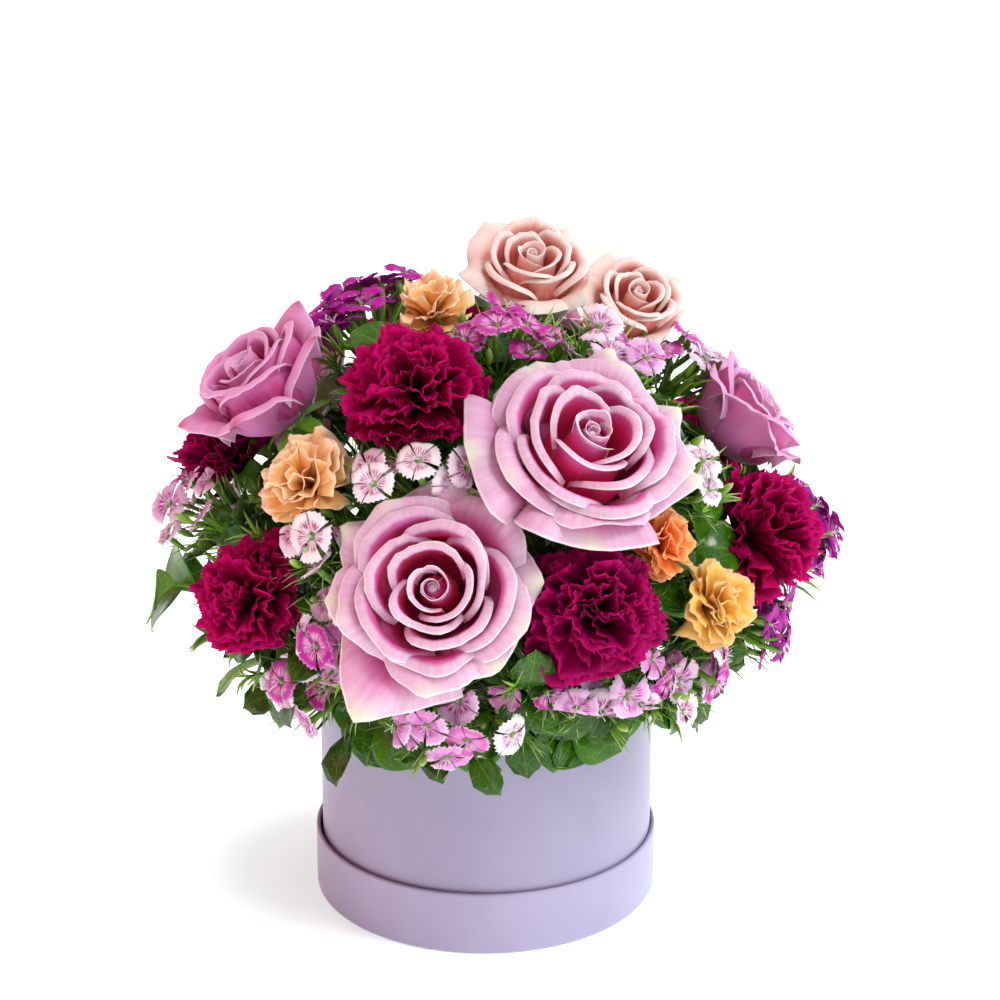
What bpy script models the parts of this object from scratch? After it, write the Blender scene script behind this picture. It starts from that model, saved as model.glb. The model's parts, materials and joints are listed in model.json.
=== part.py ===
"""A round hat box that stands in its own upturned lid, filled with a ball of cut flowers.

Units are metres, +Z is up, and the origin is the middle of the lid's underside. The front of the
arrangement faces -Y. Every stem is straight where it stands in the foam and points at STEM_CENTRE.
A flower is placed by the azimuth and elevation of its stem in degrees (azimuth 0 is the front, 90 is
+X) and by its reach, the distance from STEM_CENTRE to the plane of its widest petals.
"""

import math

import bmesh
import bpy
import numpy as np
from mathutils import Matrix, Vector

# Holder
LID_RADIUS = 0.090
LID_HEIGHT = 0.034
BOARD = 0.0022
BOX_RADIUS = 0.087
BOX_TOP = 0.1305
BOX_SHIFT = 0.0005
REST_GAP = 0.0003
LINER_WALL = 0.0009
LINER_TOP = 0.124
ROUND_SIDES = 28
LINER_SIDES = 24

# Foam
FOAM_TOP = 0.192
FOAM_CHAMFER = 0.018
FOAM_RADIUS = 0.064
FOAM_SHOULDER = 0.126
HOLE_SIDES = 4
HOLE_CLEARANCE = 0.0004

# Stems
STEM_CENTRE = np.array((0.0, 0.0, 0.140))
STEM_INNER_END = 0.036
ROSE_STEM = 0.0027
CARNATION_STEM = 0.0021
SPRAY_STEM = 0.0014

# Sheets, and the gap that neighbours keep. A piece is pressed in from PRESS_FROM of its room on.
BLADE = 0.0008
CELL_GAP = 0.0009
PRESS_FROM = 0.72
FAR = 1.0

# Roses, in shares of the bloom's radius, of its height or of a petal's length. A rose smaller than
# SMALL_ROSE has no middle ring.
ROSE_DEPTH = 0.92
ROSE_SEAT = 0.62
SMALL_ROSE = 0.0535
PETAL_LEAN = 0.12
PETAL_DIP = 0.05
PETAL_TAPER = 0.42
PETAL_CLAW = 0.45

# Carnations: the (radius, height) of the rim of each tier of petals and of the groove over it, in
# shares of the head's radius, from the lowest tier up. The last groove is the middle of the top.
TIERS = (
    ((1.00, 0.00), (0.46, 0.10)), ((0.99, 0.32), (0.38, 0.34)),
    ((0.80, 0.62), (0.22, 0.50)), ((0.46, 0.80), (0.00, 0.58)),
)
SPRAY_TIERS = (((1.00, 0.02), (0.42, 0.16)), ((0.90, 0.42), (0.26, 0.40)), ((0.50, 0.74), (0.00, 0.52)))
TIER_PETALS = 5
FOLD = 0.09
NOTCH = 0.66
HEAD_SEAT = 0.34
CARNATION_TUBE = 0.030
SPRAY_TUBE = 0.022

# Dianthus
FLORET_RADIUS = 0.0120
FLORET_MARGIN = 0.007
FLORET_STEP = 0.0042
STALK = 0.0008
FORK_DEPTH = 0.034
BRACTS = 3
BRACT_LENGTH = 0.030
BRACT_SPREAD = 0.010
GOLDEN_ANGLE = math.radians(137.508)

# Leaves, in shares of a leaf's length
LEAF_WIDTH = 0.46
LEAF_ARCH = 0.16
LEAF_ROOM = 0.62

# Half the thickness of a leaf at its middle, and how far under its reach the stem of a spray ends
LEAF_SWELL = 0.0010
LEAF_STEM_SHORT = 0.010

# Leaves on the stem of a flower: how many, how far under the head or fork the first one leaves the
# stem and how far apart they are, their length, half width as a share of it, and tilt in degrees.
# Dianthus stems under LEAFY_FROM degrees of elevation are too near the rim for them.
STEM_LEAVES = dict(
    rose=dict(count=3, under=0.015, step=0.008, length=0.042, width=0.44, tilt=14),
    carnation=dict(count=2, under=0.031, step=0.008, length=0.040, width=0.36, tilt=28),
    dianthus=dict(count=2, under=0.020, step=0.010, length=0.036, width=0.30, tilt=30),
)
LEAFY_FROM = 25
STEM_SIDES = 4

ROSES = {
    "rose_front_low": dict(place=(-9, 29, 0.165), radius=0.054, turn=49, kind="pink"),
    "rose_front_high": dict(place=(24, 50, 0.182), radius=0.057, turn=40, kind="pink"),
    "rose_back": dict(place=(172, 42, 0.176), radius=0.053, turn=40, kind="pink"),
    "rose_lavender_left": dict(place=(-76, 52, 0.187), radius=0.046, turn=10, kind="lavender"),
    "rose_lavender_right": dict(place=(94, 41, 0.178), radius=0.041, turn=55, kind="lavender"),
    "rose_lavender_back": dict(place=(-132, 34, 0.170), radius=0.044, turn=30, kind="lavender"),
    "rose_blush_left": dict(place=(150, 77, 0.201), radius=0.038, turn=0, kind="blush"),
    "rose_blush_right": dict(place=(113, 64, 0.197), radius=0.033, turn=50, kind="blush"),
}

CARNATIONS = {
    "carnation_top": dict(place=(-22, 61, 0.189), radius=0.041, turn=0, kind="crimson"),
    "carnation_front_left": dict(place=(-54, 21, 0.157), radius=0.036, turn=40, kind="crimson"),
    "carnation_front_right": dict(place=(21.5, 25.5, 0.161), radius=0.042, turn=80, kind="crimson"),
    "carnation_right": dict(place=(79, 25, 0.164), radius=0.042, turn=15, kind="crimson"),
    "carnation_left": dict(place=(-93, 36, 0.170), radius=0.034, turn=60, kind="crimson"),
    "carnation_back_right": dict(place=(127, 26, 0.163), radius=0.039, turn=25, kind="crimson"),
    "carnation_back_top": dict(place=(-160, 53, 0.172), radius=0.038, turn=70, kind="crimson"),
}

SPRAY_CARNATIONS = {
    "spray_carnation_top": dict(place=(-37, 77, 0.195), radius=0.024, turn=0, kind="peach"),
    "spray_carnation_left": dict(place=(-43, 43, 0.176), radius=0.028, turn=30, kind="peach"),
    "spray_carnation_centre": dict(place=(37, 34, 0.169), radius=0.021, turn=50, kind="orange"),
    "spray_carnation_right": dict(place=(51, 20, 0.157), radius=0.024, turn=10, kind="yellow"),
    "spray_carnation_back": dict(place=(141, 50, 0.176), radius=0.025, turn=70, kind="peach"),
}

# spread is the half width and half height of the flat head that a spray's florets stand in
DIANTHUS = {
    "dianthus_purple_top": dict(
        place=(-119, 67, 0.191), spread=(0.036, 0.014), florets=6, turn=70, kind="purple"
    ),
    "dianthus_magenta_top": dict(
        place=(8, 73, 0.195), spread=(0.022, 0.010), florets=4, turn=60, kind="magenta"
    ),
    "dianthus_lilac_top": dict(
        place=(53, 67, 0.192), spread=(0.012, 0.015), florets=3, turn=54, kind="lilac"
    ),
    "dianthus_pink_right": dict(
        place=(101, 54, 0.188), spread=(0.012, 0.017), florets=4, turn=80, kind="candy"
    ),
    "dianthus_white_right": dict(
        place=(56, 42, 0.176), spread=(0.011, 0.011), florets=2, turn=0, kind="white"
    ),
    "dianthus_left": dict(
        place=(-83, 28, 0.180), spread=(0.024, 0.015), florets=5, turn=200, kind="candy"
    ),
    "dianthus_white_left": dict(
        place=(-38, 34, 0.170), spread=(0.011, 0.010), florets=2, turn=45, kind="white"
    ),
    "dianthus_centre": dict(
        place=(-18, 48, 0.180), spread=(0.027, 0.009), florets=4, turn=56, kind="candy"
    ),
    "dianthus_left_low": dict(
        place=(-31, 19, 0.158), spread=(0.010, 0.022), florets=4, turn=90, kind="magenta"
    ),
    "dianthus_rim_left": dict(
        place=(-46, 4, 0.136), spread=(0.024, 0.012), florets=4, turn=198, kind="candy"
    ),
    "dianthus_rim_front": dict(
        place=(-8, 3, 0.137), spread=(0.030, 0.014), florets=6, turn=39, kind="candy"
    ),
    "dianthus_rim_right": dict(
        place=(27, 6, 0.138), spread=(0.032, 0.013), florets=5, turn=124, kind="magenta"
    ),
    "dianthus_right_low": dict(
        place=(54, 5, 0.142), spread=(0.025, 0.014), florets=5, turn=0, kind="candy"
    ),
    "dianthus_purple_right": dict(
        place=(81, 8, 0.156), spread=(0.018, 0.018), florets=4, turn=60, kind="purple"
    ),
    "dianthus_right": dict(
        place=(94, 18, 0.193), spread=(0.015, 0.018), florets=3, turn=0, kind="purple"
    ),
    "dianthus_back_left": dict(
        place=(-112, 17, 0.158), spread=(0.022, 0.018), florets=4, turn=48, kind="candy"
    ),
    "dianthus_back": dict(
        place=(-172, 14, 0.152), spread=(0.034, 0.018), florets=5, turn=40, kind="magenta"
    ),
}

# turns are the directions that the leaves point in, seen from outside: 0 is up, 90 is right
LEAVES = {
    "leaves_top": dict(place=(-59, 73, 0.186), turns=(20, 130, 240), length=0.030, tilt=35),
    "leaves_left": dict(place=(-82, 13, 0.176), turns=(100, 190, 290), length=0.034, tilt=28),
    "leaves_right": dict(place=(62, 31, 0.150), turns=(10, 130, 240), length=0.030, tilt=35),
    "leaves_rim_left": dict(place=(-64, 2, 0.122), turns=(120, 175, 235), length=0.036, tilt=22),
    "leaves_rim_front_left": dict(place=(-27, 1, 0.118), turns=(140, 195, 260), length=0.036, tilt=22),
    "leaves_rim_front_right": dict(place=(26, 0, 0.114), turns=(90, 140, 200), length=0.038, tilt=18),
    "leaves_rim_right": dict(place=(66, -1, 0.122), turns=(100, 160, 215), length=0.036, tilt=22),
    "leaves_back_right": dict(place=(131, 4, 0.126), turns=(60, 145, 225), length=0.037, tilt=24),
    "leaves_back_left": dict(place=(-140, 4, 0.126), turns=(130, 215, 300), length=0.037, tilt=24),
    "leaves_back": dict(place=(159, 11, 0.128), turns=(30, 120, 200, 290), length=0.038, tilt=26),
    "leaves_side_right": dict(place=(106, 1, 0.122), turns=(40, 140, 220, 310), length=0.036, tilt=24),
}

COLOURS = {
    "box": ((0.52, 0.46, 0.66), 0.5),
    "liner": ((0.75, 0.78, 0.78), 0.3),
    "foam": ((0.10, 0.22, 0.08), 0.95),
    "pink": ((0.82, 0.42, 0.60), 0.6),
    "lavender": ((0.55, 0.30, 0.52), 0.6),
    "blush": ((0.86, 0.55, 0.50), 0.6),
    "crimson": ((0.36, 0.01, 0.12), 0.8),
    "peach": ((0.90, 0.52, 0.22), 0.7),
    "orange": ((0.88, 0.34, 0.10), 0.7),
    "yellow": ((0.92, 0.56, 0.16), 0.7),
    "candy": ((0.84, 0.45, 0.66), 0.7),
    "lilac": ((0.66, 0.42, 0.70), 0.7),
    "magenta": ((0.66, 0.05, 0.34), 0.7),
    "purple": ((0.22, 0.03, 0.24), 0.7),
    "white": ((0.88, 0.82, 0.84), 0.7),
    "leaf": ((0.05, 0.16, 0.03), 0.35),
    "stem": ((0.12, 0.26, 0.06), 0.6),
}


def clear_scene():
    for thing in list(bpy.data.objects):
        bpy.data.objects.remove(thing, do_unlink=True)


def new_collection(name, hidden=False):
    group = bpy.data.collections.new(name)
    group.hide_render = hidden
    bpy.context.scene.collection.children.link(group)
    return group


def material(kind):
    found = bpy.data.materials.get(kind)
    if found:
        return found
    colour, roughness = COLOURS[kind]
    made = bpy.data.materials.new(kind)
    made.use_nodes = True
    shader = made.node_tree.nodes["Principled BSDF"]
    shader.inputs["Base Color"].default_value = (*colour, 1.0)
    shader.inputs["Roughness"].default_value = roughness
    shader.inputs["Metallic"].default_value = 0.0
    made.diffuse_color = (*colour, 1.0)
    return made


def finished(name, mesh, kind, group):
    """The object of one piece, with its material, its rounded faces shaded smooth."""
    piece = bpy.data.objects.new(name, mesh)
    mesh.name = name
    mesh.materials.clear()
    mesh.materials.append(material(kind))
    mesh.shade_smooth()
    mesh.set_sharp_from_angle(angle=math.radians(35))
    group.objects.link(piece)
    return piece


def evaluated_mesh(piece):
    """The piece's mesh with its modifiers applied. The piece itself is removed."""
    bpy.context.view_layer.update()
    graph = bpy.context.evaluated_depsgraph_get()
    mesh = bpy.data.meshes.new_from_object(piece.evaluated_get(graph))
    bpy.data.objects.remove(piece, do_unlink=True)
    return mesh


# Directions and the share of the ball that each piece keeps to


def direction(azimuth, elevation):
    a, e = math.radians(azimuth), math.radians(elevation)
    return np.array((math.cos(e) * math.sin(a), -math.cos(e) * math.cos(a), math.sin(e)))


def head_frame(place, turn=0.0):
    """Columns of a turned frame: right, up and out, seen from outside along the stem."""
    azimuth, elevation, _ = place
    out = direction(azimuth, elevation)
    right = np.array((math.cos(math.radians(azimuth)), math.sin(math.radians(azimuth)), 0.0))
    up = np.cross(out, right)
    c, s = math.cos(math.radians(turn)), math.sin(math.radians(turn))
    return np.column_stack((c * right + s * up, c * up - s * right, out))


def room_towards(settings, other):
    """Half the angle that a piece would like on its side towards another direction, in radians."""
    reach = settings["place"][2]
    if "radius" in settings:
        return settings["radius"] / reach
    if "length" in settings:
        return LEAF_ROOM * settings["length"] / reach
    frame = head_frame(settings["place"])
    x, y = frame[:, 0] @ other, frame[:, 1] @ other
    wide, tall = settings["spread"]
    return (math.hypot(wide * x, tall * y) / math.hypot(x, y) + FLORET_MARGIN) / reach


PLACED = {**ROSES, **CARNATIONS, **SPRAY_CARNATIONS, **DIANTHUS, **LEAVES}


def cell_walls(name):
    """Normals of the planes through STEM_CENTRE that part a piece from each of the others."""
    own = direction(*PLACED[name]["place"][:2])
    walls = []
    for other, settings in PLACED.items():
        if other == name:
            continue
        theirs = direction(*settings["place"][:2])
        angle = math.acos(float(np.clip(own @ theirs, -1.0, 1.0)))
        own_room = room_towards(PLACED[name], theirs)
        split = angle * own_room / (own_room + room_towards(settings, own))
        across = theirs - (theirs @ own) * own
        across /= np.linalg.norm(across)
        walls.append(math.cos(split) * across - math.sin(split) * own)
    return own, np.array(walls)


def pressed(points, cell):
    """Points drawn in towards the stem's line, softly and in order, so that all stay in the cell."""
    own, walls = cell
    away = np.asarray(points, float) - STEM_CENTRE
    along = away @ own
    side = away - along[:, None] * own
    width = np.linalg.norm(side, axis=1)
    unit = side / np.maximum(width, 1e-9)[:, None]
    slope = unit @ walls.T
    room = -CELL_GAP - along[:, None] * (walls @ own)[None, :]
    limit = np.where(slope > 1e-6, room / np.maximum(slope, 1e-6), FAR).min(axis=1)
    start = PRESS_FROM * limit
    rest = np.maximum(limit - start, 1e-6)
    squeezed = start + rest * np.tanh((width - start) / rest)
    width = np.where(width > start, squeezed, width)
    return STEM_CENTRE + along[:, None] * own + unit * width[:, None]


# Solids


def turned(profile, sides, cell=None, frame=None, origin=None):
    """Closed solid of revolution. The profile runs down its outer side, from axis to axis."""
    mesh = bpy.data.meshes.new("turned")
    edges = [(i, i + 1) for i in range(len(profile) - 1)]
    mesh.from_pydata([(r, 0.0, z) for r, z in profile], edges, [])
    piece = bpy.data.objects.new("turned", mesh)
    bpy.context.scene.collection.objects.link(piece)
    screw = piece.modifiers.new("turn", "SCREW")
    screw.steps = screw.render_steps = sides
    screw.use_merge_vertices = True
    screw.merge_threshold = 0.00001
    made = evaluated_mesh(piece)
    if frame is not None:
        move_points(made, lambda p: origin + p @ frame.T, cell)
    return made


def move_points(mesh, rule, cell=None):
    points = np.array([v.co[:] for v in mesh.vertices])
    points = rule(points)
    if cell is not None:
        points = pressed(points, cell)
    mesh.vertices.foreach_set("co", points.ravel())
    mesh.update()


def blade(surface, rows, columns, cell, thickness=BLADE):
    """Thin solid on a surface given for u in 0..1 (root to tip) and v in -1..1 (across)."""
    sheet = bmesh.new()
    bmesh.ops.create_grid(sheet, x_segments=rows, y_segments=columns, size=1.0)
    sheet.verts.ensure_lookup_table()
    grid = np.array([v.co[:] for v in sheet.verts])
    points = pressed(surface(0.5 * (grid[:, 0] + 1.0), grid[:, 1]), cell)
    for vert, point in zip(sheet.verts, points):
        vert.co = point
    bmesh.ops.triangulate(sheet, faces=sheet.faces[:])
    mesh = bpy.data.meshes.new("blade")
    sheet.to_mesh(mesh)
    sheet.free()
    piece = bpy.data.objects.new("blade", mesh)
    wall = piece.modifiers.new("wall", "SOLIDIFY")
    wall.thickness = thickness
    wall.offset = 0.0
    return piece


def rod(start, end, start_radius, end_radius, sides):
    """Tapered closed rod between two points. A zero end radius makes a needle."""
    start, end = Vector(start), Vector(end)
    span = end - start
    solid = bmesh.new()
    place = Matrix.Translation((start + end) / 2) @ span.to_track_quat("Z", "Y").to_matrix().to_4x4()
    bmesh.ops.create_cone(
        solid, cap_ends=True, cap_tris=True, segments=sides,
        radius1=start_radius, radius2=end_radius, depth=span.length, matrix=place,
    )
    bmesh.ops.remove_doubles(solid, verts=solid.verts[:], dist=1e-6)
    mesh = bpy.data.meshes.new("rod")
    solid.to_mesh(mesh)
    solid.free()
    return bpy.data.objects.new("rod", mesh)


def as_object(mesh):
    return bpy.data.objects.new("core", mesh)


def outer_shell(mesh):
    """Keeps the shell with the greatest volume, so a sealed hollow is filled and a scrap dropped."""
    solid = bmesh.new()
    solid.from_mesh(mesh)
    left = set(solid.verts)
    shells = []
    while left:
        shell, front = set(), [left.pop()]
        while front:
            vert = front.pop()
            shell.add(vert)
            near = {edge.other_vert(vert) for edge in vert.link_edges} & left
            left -= near
            front.extend(near)
        shells.append(shell)
    bmesh.ops.triangulate(solid, faces=solid.faces[:])

    def volume(shell):
        faces = {face for vert in shell for face in vert.link_faces}
        corners = ([vert.co for vert in face.verts] for face in faces)
        return sum(a.dot(b.cross(c)) for a, b, c in corners)

    keep = max(shells, key=volume)
    bmesh.ops.delete(solid, geom=[v for v in solid.verts if v not in keep], context="VERTS")
    solid.to_mesh(mesh)
    solid.free()


def fused(name, first, others, kind, group):
    """One piece made of its core and everything that grows from it, joined by one Boolean."""
    roots = bpy.data.collections.new(name + "_roots")
    bpy.context.scene.collection.children.link(roots)
    for other in others:
        roots.objects.link(other)
    bpy.context.scene.collection.objects.link(first)
    join = first.modifiers.new("join", "BOOLEAN")
    join.operation = "UNION"
    join.operand_type = "COLLECTION"
    join.collection = roots
    join.solver = "MANIFOLD"
    mesh = evaluated_mesh(first)
    for other in list(roots.objects):
        bpy.data.objects.remove(other, do_unlink=True)
    bpy.data.collections.remove(roots)
    outer_shell(mesh)
    return finished(name, mesh, kind, group)


# Holder


def cup_profile(radius, top, floor, wall, bottom):
    """Half section of a cup from the middle of its floor, over the rim and back to the middle."""
    inner = radius - wall
    return [
        (0.0, bottom + floor), (inner, bottom + floor), (inner, top), (radius, top),
        (radius, bottom), (0.0, bottom),
    ]


def make_lid(group):
    mesh = turned(cup_profile(LID_RADIUS, LID_HEIGHT, BOARD, BOARD, 0.0), ROUND_SIDES)
    finished("lid", mesh, "box", group)


def make_box(group):
    mesh = turned(cup_profile(BOX_RADIUS, BOX_TOP, BOARD, BOARD, BOARD + REST_GAP), ROUND_SIDES)
    move_points(mesh, lambda p: p + (BOX_SHIFT, 0.0, 0.0))
    finished("box", mesh, "box", group)


def liner_bottom():
    return 2 * BOARD + 2 * REST_GAP


def make_liner(group):
    radius = (BOX_RADIUS - BOARD) * math.cos(math.pi / ROUND_SIDES) - REST_GAP
    mesh = turned(cup_profile(radius, LINER_TOP, LINER_WALL, LINER_WALL, liner_bottom()), LINER_SIDES)
    move_points(mesh, lambda p: p + (BOX_SHIFT, 0.0, 0.0))
    finished("liner", mesh, "liner", group)
    return (radius - LINER_WALL) * math.cos(math.pi / LINER_SIDES)


def stem_radius(name):
    if name in ROSES:
        return ROSE_STEM
    if name in CARNATIONS or name in SPRAY_CARNATIONS:
        return CARNATION_STEM
    return SPRAY_STEM


def make_foam(liner_room, group, cutters):
    wide = liner_room - REST_GAP
    bottom = liner_bottom() + LINER_WALL + REST_GAP
    profile = [
        (0.0, FOAM_TOP), (FOAM_RADIUS - FOAM_CHAMFER, FOAM_TOP),
        (FOAM_RADIUS, FOAM_TOP - FOAM_CHAMFER), (FOAM_RADIUS, FOAM_SHOULDER),
        (wide, FOAM_SHOULDER - 0.004), (wide, bottom), (0.0, bottom),
    ]
    mesh = turned(profile, LINER_SIDES)
    foam = finished("foam", mesh, "foam", group)
    for name, settings in PLACED.items():
        out = direction(*settings["place"][:2])
        radius = (stem_radius(name) + HOLE_CLEARANCE) / math.cos(math.pi / HOLE_SIDES)
        hole = rod(
            STEM_CENTRE + (STEM_INNER_END - REST_GAP) * out,
            STEM_CENTRE + 1.6 * FOAM_RADIUS * out,
            radius, radius, HOLE_SIDES,
        )
        hole.name = "hole_" + name
        hole.hide_render = True
        hole.display_type = "WIRE"
        cutters.objects.link(hole)
    cut = foam.modifiers.new("stem_holes", "BOOLEAN")
    cut.operation = "DIFFERENCE"
    cut.operand_type = "COLLECTION"
    cut.collection = cutters
    cut.solver = "MANIFOLD"


# Leaf blades


def leaf_surface(start, along, normal, length, half):
    """Broad leaf, widest past its middle, that arches over and dips along its midrib."""
    across = np.cross(along, normal)

    def surface(u, v):
        width = half * np.sin(math.pi * (0.05 + 0.86 * u)) ** 0.8
        local = (length * u)[:, None] * along + (width * v)[:, None] * across
        arch = LEAF_ARCH * length * (4 * u * (1 - u) - 0.9 * u**2) + 0.12 * half * np.abs(v)
        return start + local + arch[:, None] * normal

    return surface


def leaf_way(frame, turn, tilt):
    """Unit vectors along a leaf and up from its blade. A turn of 0 points up, a quarter right."""
    side = math.sin(turn) * frame[:, 0] + math.cos(turn) * frame[:, 1]
    out = frame[:, 2]
    return math.cos(tilt) * side + math.sin(tilt) * out, math.cos(tilt) * out - math.sin(tilt) * side


def leaf_blade(surface, normal, cell):
    """Closed leaf on a leaf surface: six corners, and a middle that swells to either side."""
    u = np.array((0.0, 0.34, 0.80, 1.0, 0.80, 0.34, 0.5, 0.5))
    v = np.array((0.0, -1.0, -0.9, 0.0, 0.9, 1.0, 0.0, 0.0))
    swell = LEAF_SWELL * np.array((0, 0, 0, 0, 0, 0, 1, -1))
    points = pressed(surface(u, v) + swell[:, None] * normal, cell)
    rim = [(corner, (corner + 1) % 6) for corner in range(6)]
    faces = [(6, here, after) for here, after in rim] + [(7, after, here) for here, after in rim]
    solid = bmesh.new()
    verts = [solid.verts.new(point) for point in points]
    for face in faces:
        solid.faces.new([verts[corner] for corner in face])
    bmesh.ops.recalc_face_normals(solid, faces=solid.faces[:])
    mesh = bpy.data.meshes.new("leaf")
    solid.to_mesh(mesh)
    solid.free()
    return as_object(mesh)


def stem_leaves(kind, frame, base, cell):
    """Blades that leave a flower's stem one below another, each a golden angle on from the last."""
    form = STEM_LEAVES[kind]
    blades = []
    for index in range(form["count"]):
        along, normal = leaf_way(frame, index * GOLDEN_ANGLE, math.radians(form["tilt"]))
        start = STEM_CENTRE + (base - form["under"] - index * form["step"]) * frame[:, 2]
        half = form["width"] * form["length"]
        surface = leaf_surface(start, along, normal, form["length"], half)
        blades.append(leaf_blade(surface, normal, cell))
    return blades


# Roses


def rose_rings(small):
    """Rings of petals from the bud outwards: how many, and the (radius, height) of root, bend and
    tip as shares of the rose's radius and height. curl rolls the edges back, point draws the tip,
    and across is how many facets a petal has from side to side."""
    inner = dict(
        count=3, path=((0.09, 0.22), (0.27, 0.50), (0.22, 1.00)), curl=0.02, point=0.00, across=2
    )
    middle = dict(
        count=4, path=((0.09, 0.15), (0.54, 0.36), (0.50, 0.96)), curl=0.07, point=0.05, across=2
    )
    outer = dict(
        count=5, path=((0.09, 0.09), (0.80, 0.14), (0.93, 0.72)), curl=0.16, point=0.10,
        across=2 if small else 3,
    )
    return (inner, outer) if small else (inner, middle, outer)


def rose_petal(ring, index, radius, height, frame, origin):
    """The petal follows a bent path up and out. It spans one and a half of its ring's places, and
    leans from inside its neighbour on one edge to outside the next on the other."""
    step = 2 * math.pi / ring["count"]
    angle = step * index + 2.1 * ring["path"][2][0]
    root, bend, tip = (np.array(point) * (radius, height) for point in ring["path"])

    def surface(u, v):
        out, lift = ((1 - u) ** 2 * r + 2 * u * (1 - u) * b + u**2 * t for r, b, t in zip(root, bend, tip))
        out = out * (1 + PETAL_LEAN * v) + ring["point"] * radius * (1 - v**2) * u**4
        lift = lift - height * v * (ring["curl"] * v * u**2 + PETAL_DIP * (1 - u))
        span = np.minimum(PETAL_CLAW + (1 - PETAL_CLAW) * 2 * u, 1) * (1 - PETAL_TAPER * u**4)
        turn = angle + 0.75 * step * v * span
        local = np.stack((out * np.cos(turn), out * np.sin(turn), lift), axis=-1)
        return origin + local @ frame.T

    return surface


def make_rose(name, settings, group):
    radius = settings["radius"]
    height = ROSE_DEPTH * radius
    frame = head_frame(settings["place"], settings["turn"])
    cell = cell_walls(name)
    base = settings["place"][2] - ROSE_SEAT * height
    origin = STEM_CENTRE + base * frame[:, 2]
    bud = [
        (0.0, 0.90 * height), (0.13 * radius, 0.78 * height), (0.18 * radius, 0.16 * height),
        (0.15 * radius, 0.0), (0.0, 0.0),
    ]
    core = as_object(turned(bud, 6, cell, frame, origin))
    petals = []
    for ring in rose_rings(radius < SMALL_ROSE):
        for index in range(ring["count"]):
            surface = rose_petal(ring, index, radius, height, frame, origin)
            petals.append(blade(surface, 2, ring["across"], cell))
    fused(name + "_petals", core, petals, settings["kind"], group)
    make_rose_stem(name, frame, base, cell, group)


def make_rose_stem(name, frame, base, cell, group):
    """Stem that widens into the hip under the petals, with its leaves."""
    top = base - REST_GAP
    profile = [
        (0.0, top), (0.0062, top), (0.0044, top - 0.007), (ROSE_STEM, top - 0.012),
        (ROSE_STEM, STEM_INNER_END), (0.0, STEM_INNER_END),
    ]
    stem = as_object(turned(profile, STEM_SIDES, None, frame, STEM_CENTRE))
    fused(name + "_stem", stem, stem_leaves("rose", frame, base, cell), "stem", group)


# Carnations


def petal_tiers(tiers, petals, folds, radius, turn):
    """Points of a head of petals, from its lowest point up: for each tier a ring along the rim, its
    edge folded up and down and notched between the petals, and then a ring along the groove."""
    spokes = petals * folds
    points = [(0.0, 0.0, -0.26)]
    for index, ((rim, rim_height), (groove, groove_height)) in enumerate(tiers):
        for spoke in range(spokes):
            angle = turn + 2 * math.pi * spoke / spokes
            step = (spoke + index * folds // 2) % folds
            notch = step == 0
            size = rim * (NOTCH if notch else 1.0 - 0.06 * (step % 2))
            lift = rim_height + (-0.05 if notch else FOLD * (-1) ** step)
            points.append((size * math.cos(angle), size * math.sin(angle), lift))
        count = spokes if groove > 0 else 1
        for spoke in range(count):
            angle = turn + 2 * math.pi * spoke / spokes
            points.append((groove * math.cos(angle), groove * math.sin(angle), groove_height))
    return radius * np.array(points), spokes


def petal_head(points, spokes):
    """Closed solid on the rings of points that petal_tiers gives."""
    head = bmesh.new()
    verts = [head.verts.new(point) for point in points]
    rings = [verts[start : start + spokes] for start in range(1, len(verts) - 1, spokes)]
    for spoke in range(spokes):
        after = (spoke + 1) % spokes
        head.faces.new((verts[0], rings[0][after], rings[0][spoke]))
        head.faces.new((verts[-1], rings[-1][spoke], rings[-1][after]))
        for low, high in zip(rings, rings[1:]):
            head.faces.new((low[spoke], low[after], high[after]))
            head.faces.new((low[spoke], high[after], high[spoke]))
    mesh = bpy.data.meshes.new("head")
    head.to_mesh(mesh)
    head.free()
    return as_object(mesh)


def make_carnation(name, settings, group, tiers, folds, tube, leafy):
    """Tiers of folded petals, one above another, over a green tube and stem, in one piece."""
    radius = settings["radius"]
    frame = head_frame(settings["place"])
    base = settings["place"][2] - HEAD_SEAT * radius
    points, spokes = petal_tiers(tiers, TIER_PETALS, folds, radius, math.radians(settings["turn"]))
    origin = STEM_CENTRE + base * frame[:, 2]
    cell = cell_walls(name)
    head = petal_head(pressed(origin + points @ frame.T, cell), spokes)
    stem = [
        (0.0, base - 0.10 * radius), (2.4 * CARNATION_STEM, base - 0.10 * radius),
        (1.8 * CARNATION_STEM, base - tube), (CARNATION_STEM, base - tube - 0.003),
        (CARNATION_STEM, STEM_INNER_END), (0.0, STEM_INNER_END),
    ]
    core = as_object(turned(stem, STEM_SIDES, None, frame, STEM_CENTRE))
    leaves = stem_leaves("carnation", frame, base, cell) if leafy else []
    fused(name, core, [head, *leaves], settings["kind"], group)


# Dianthus


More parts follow.
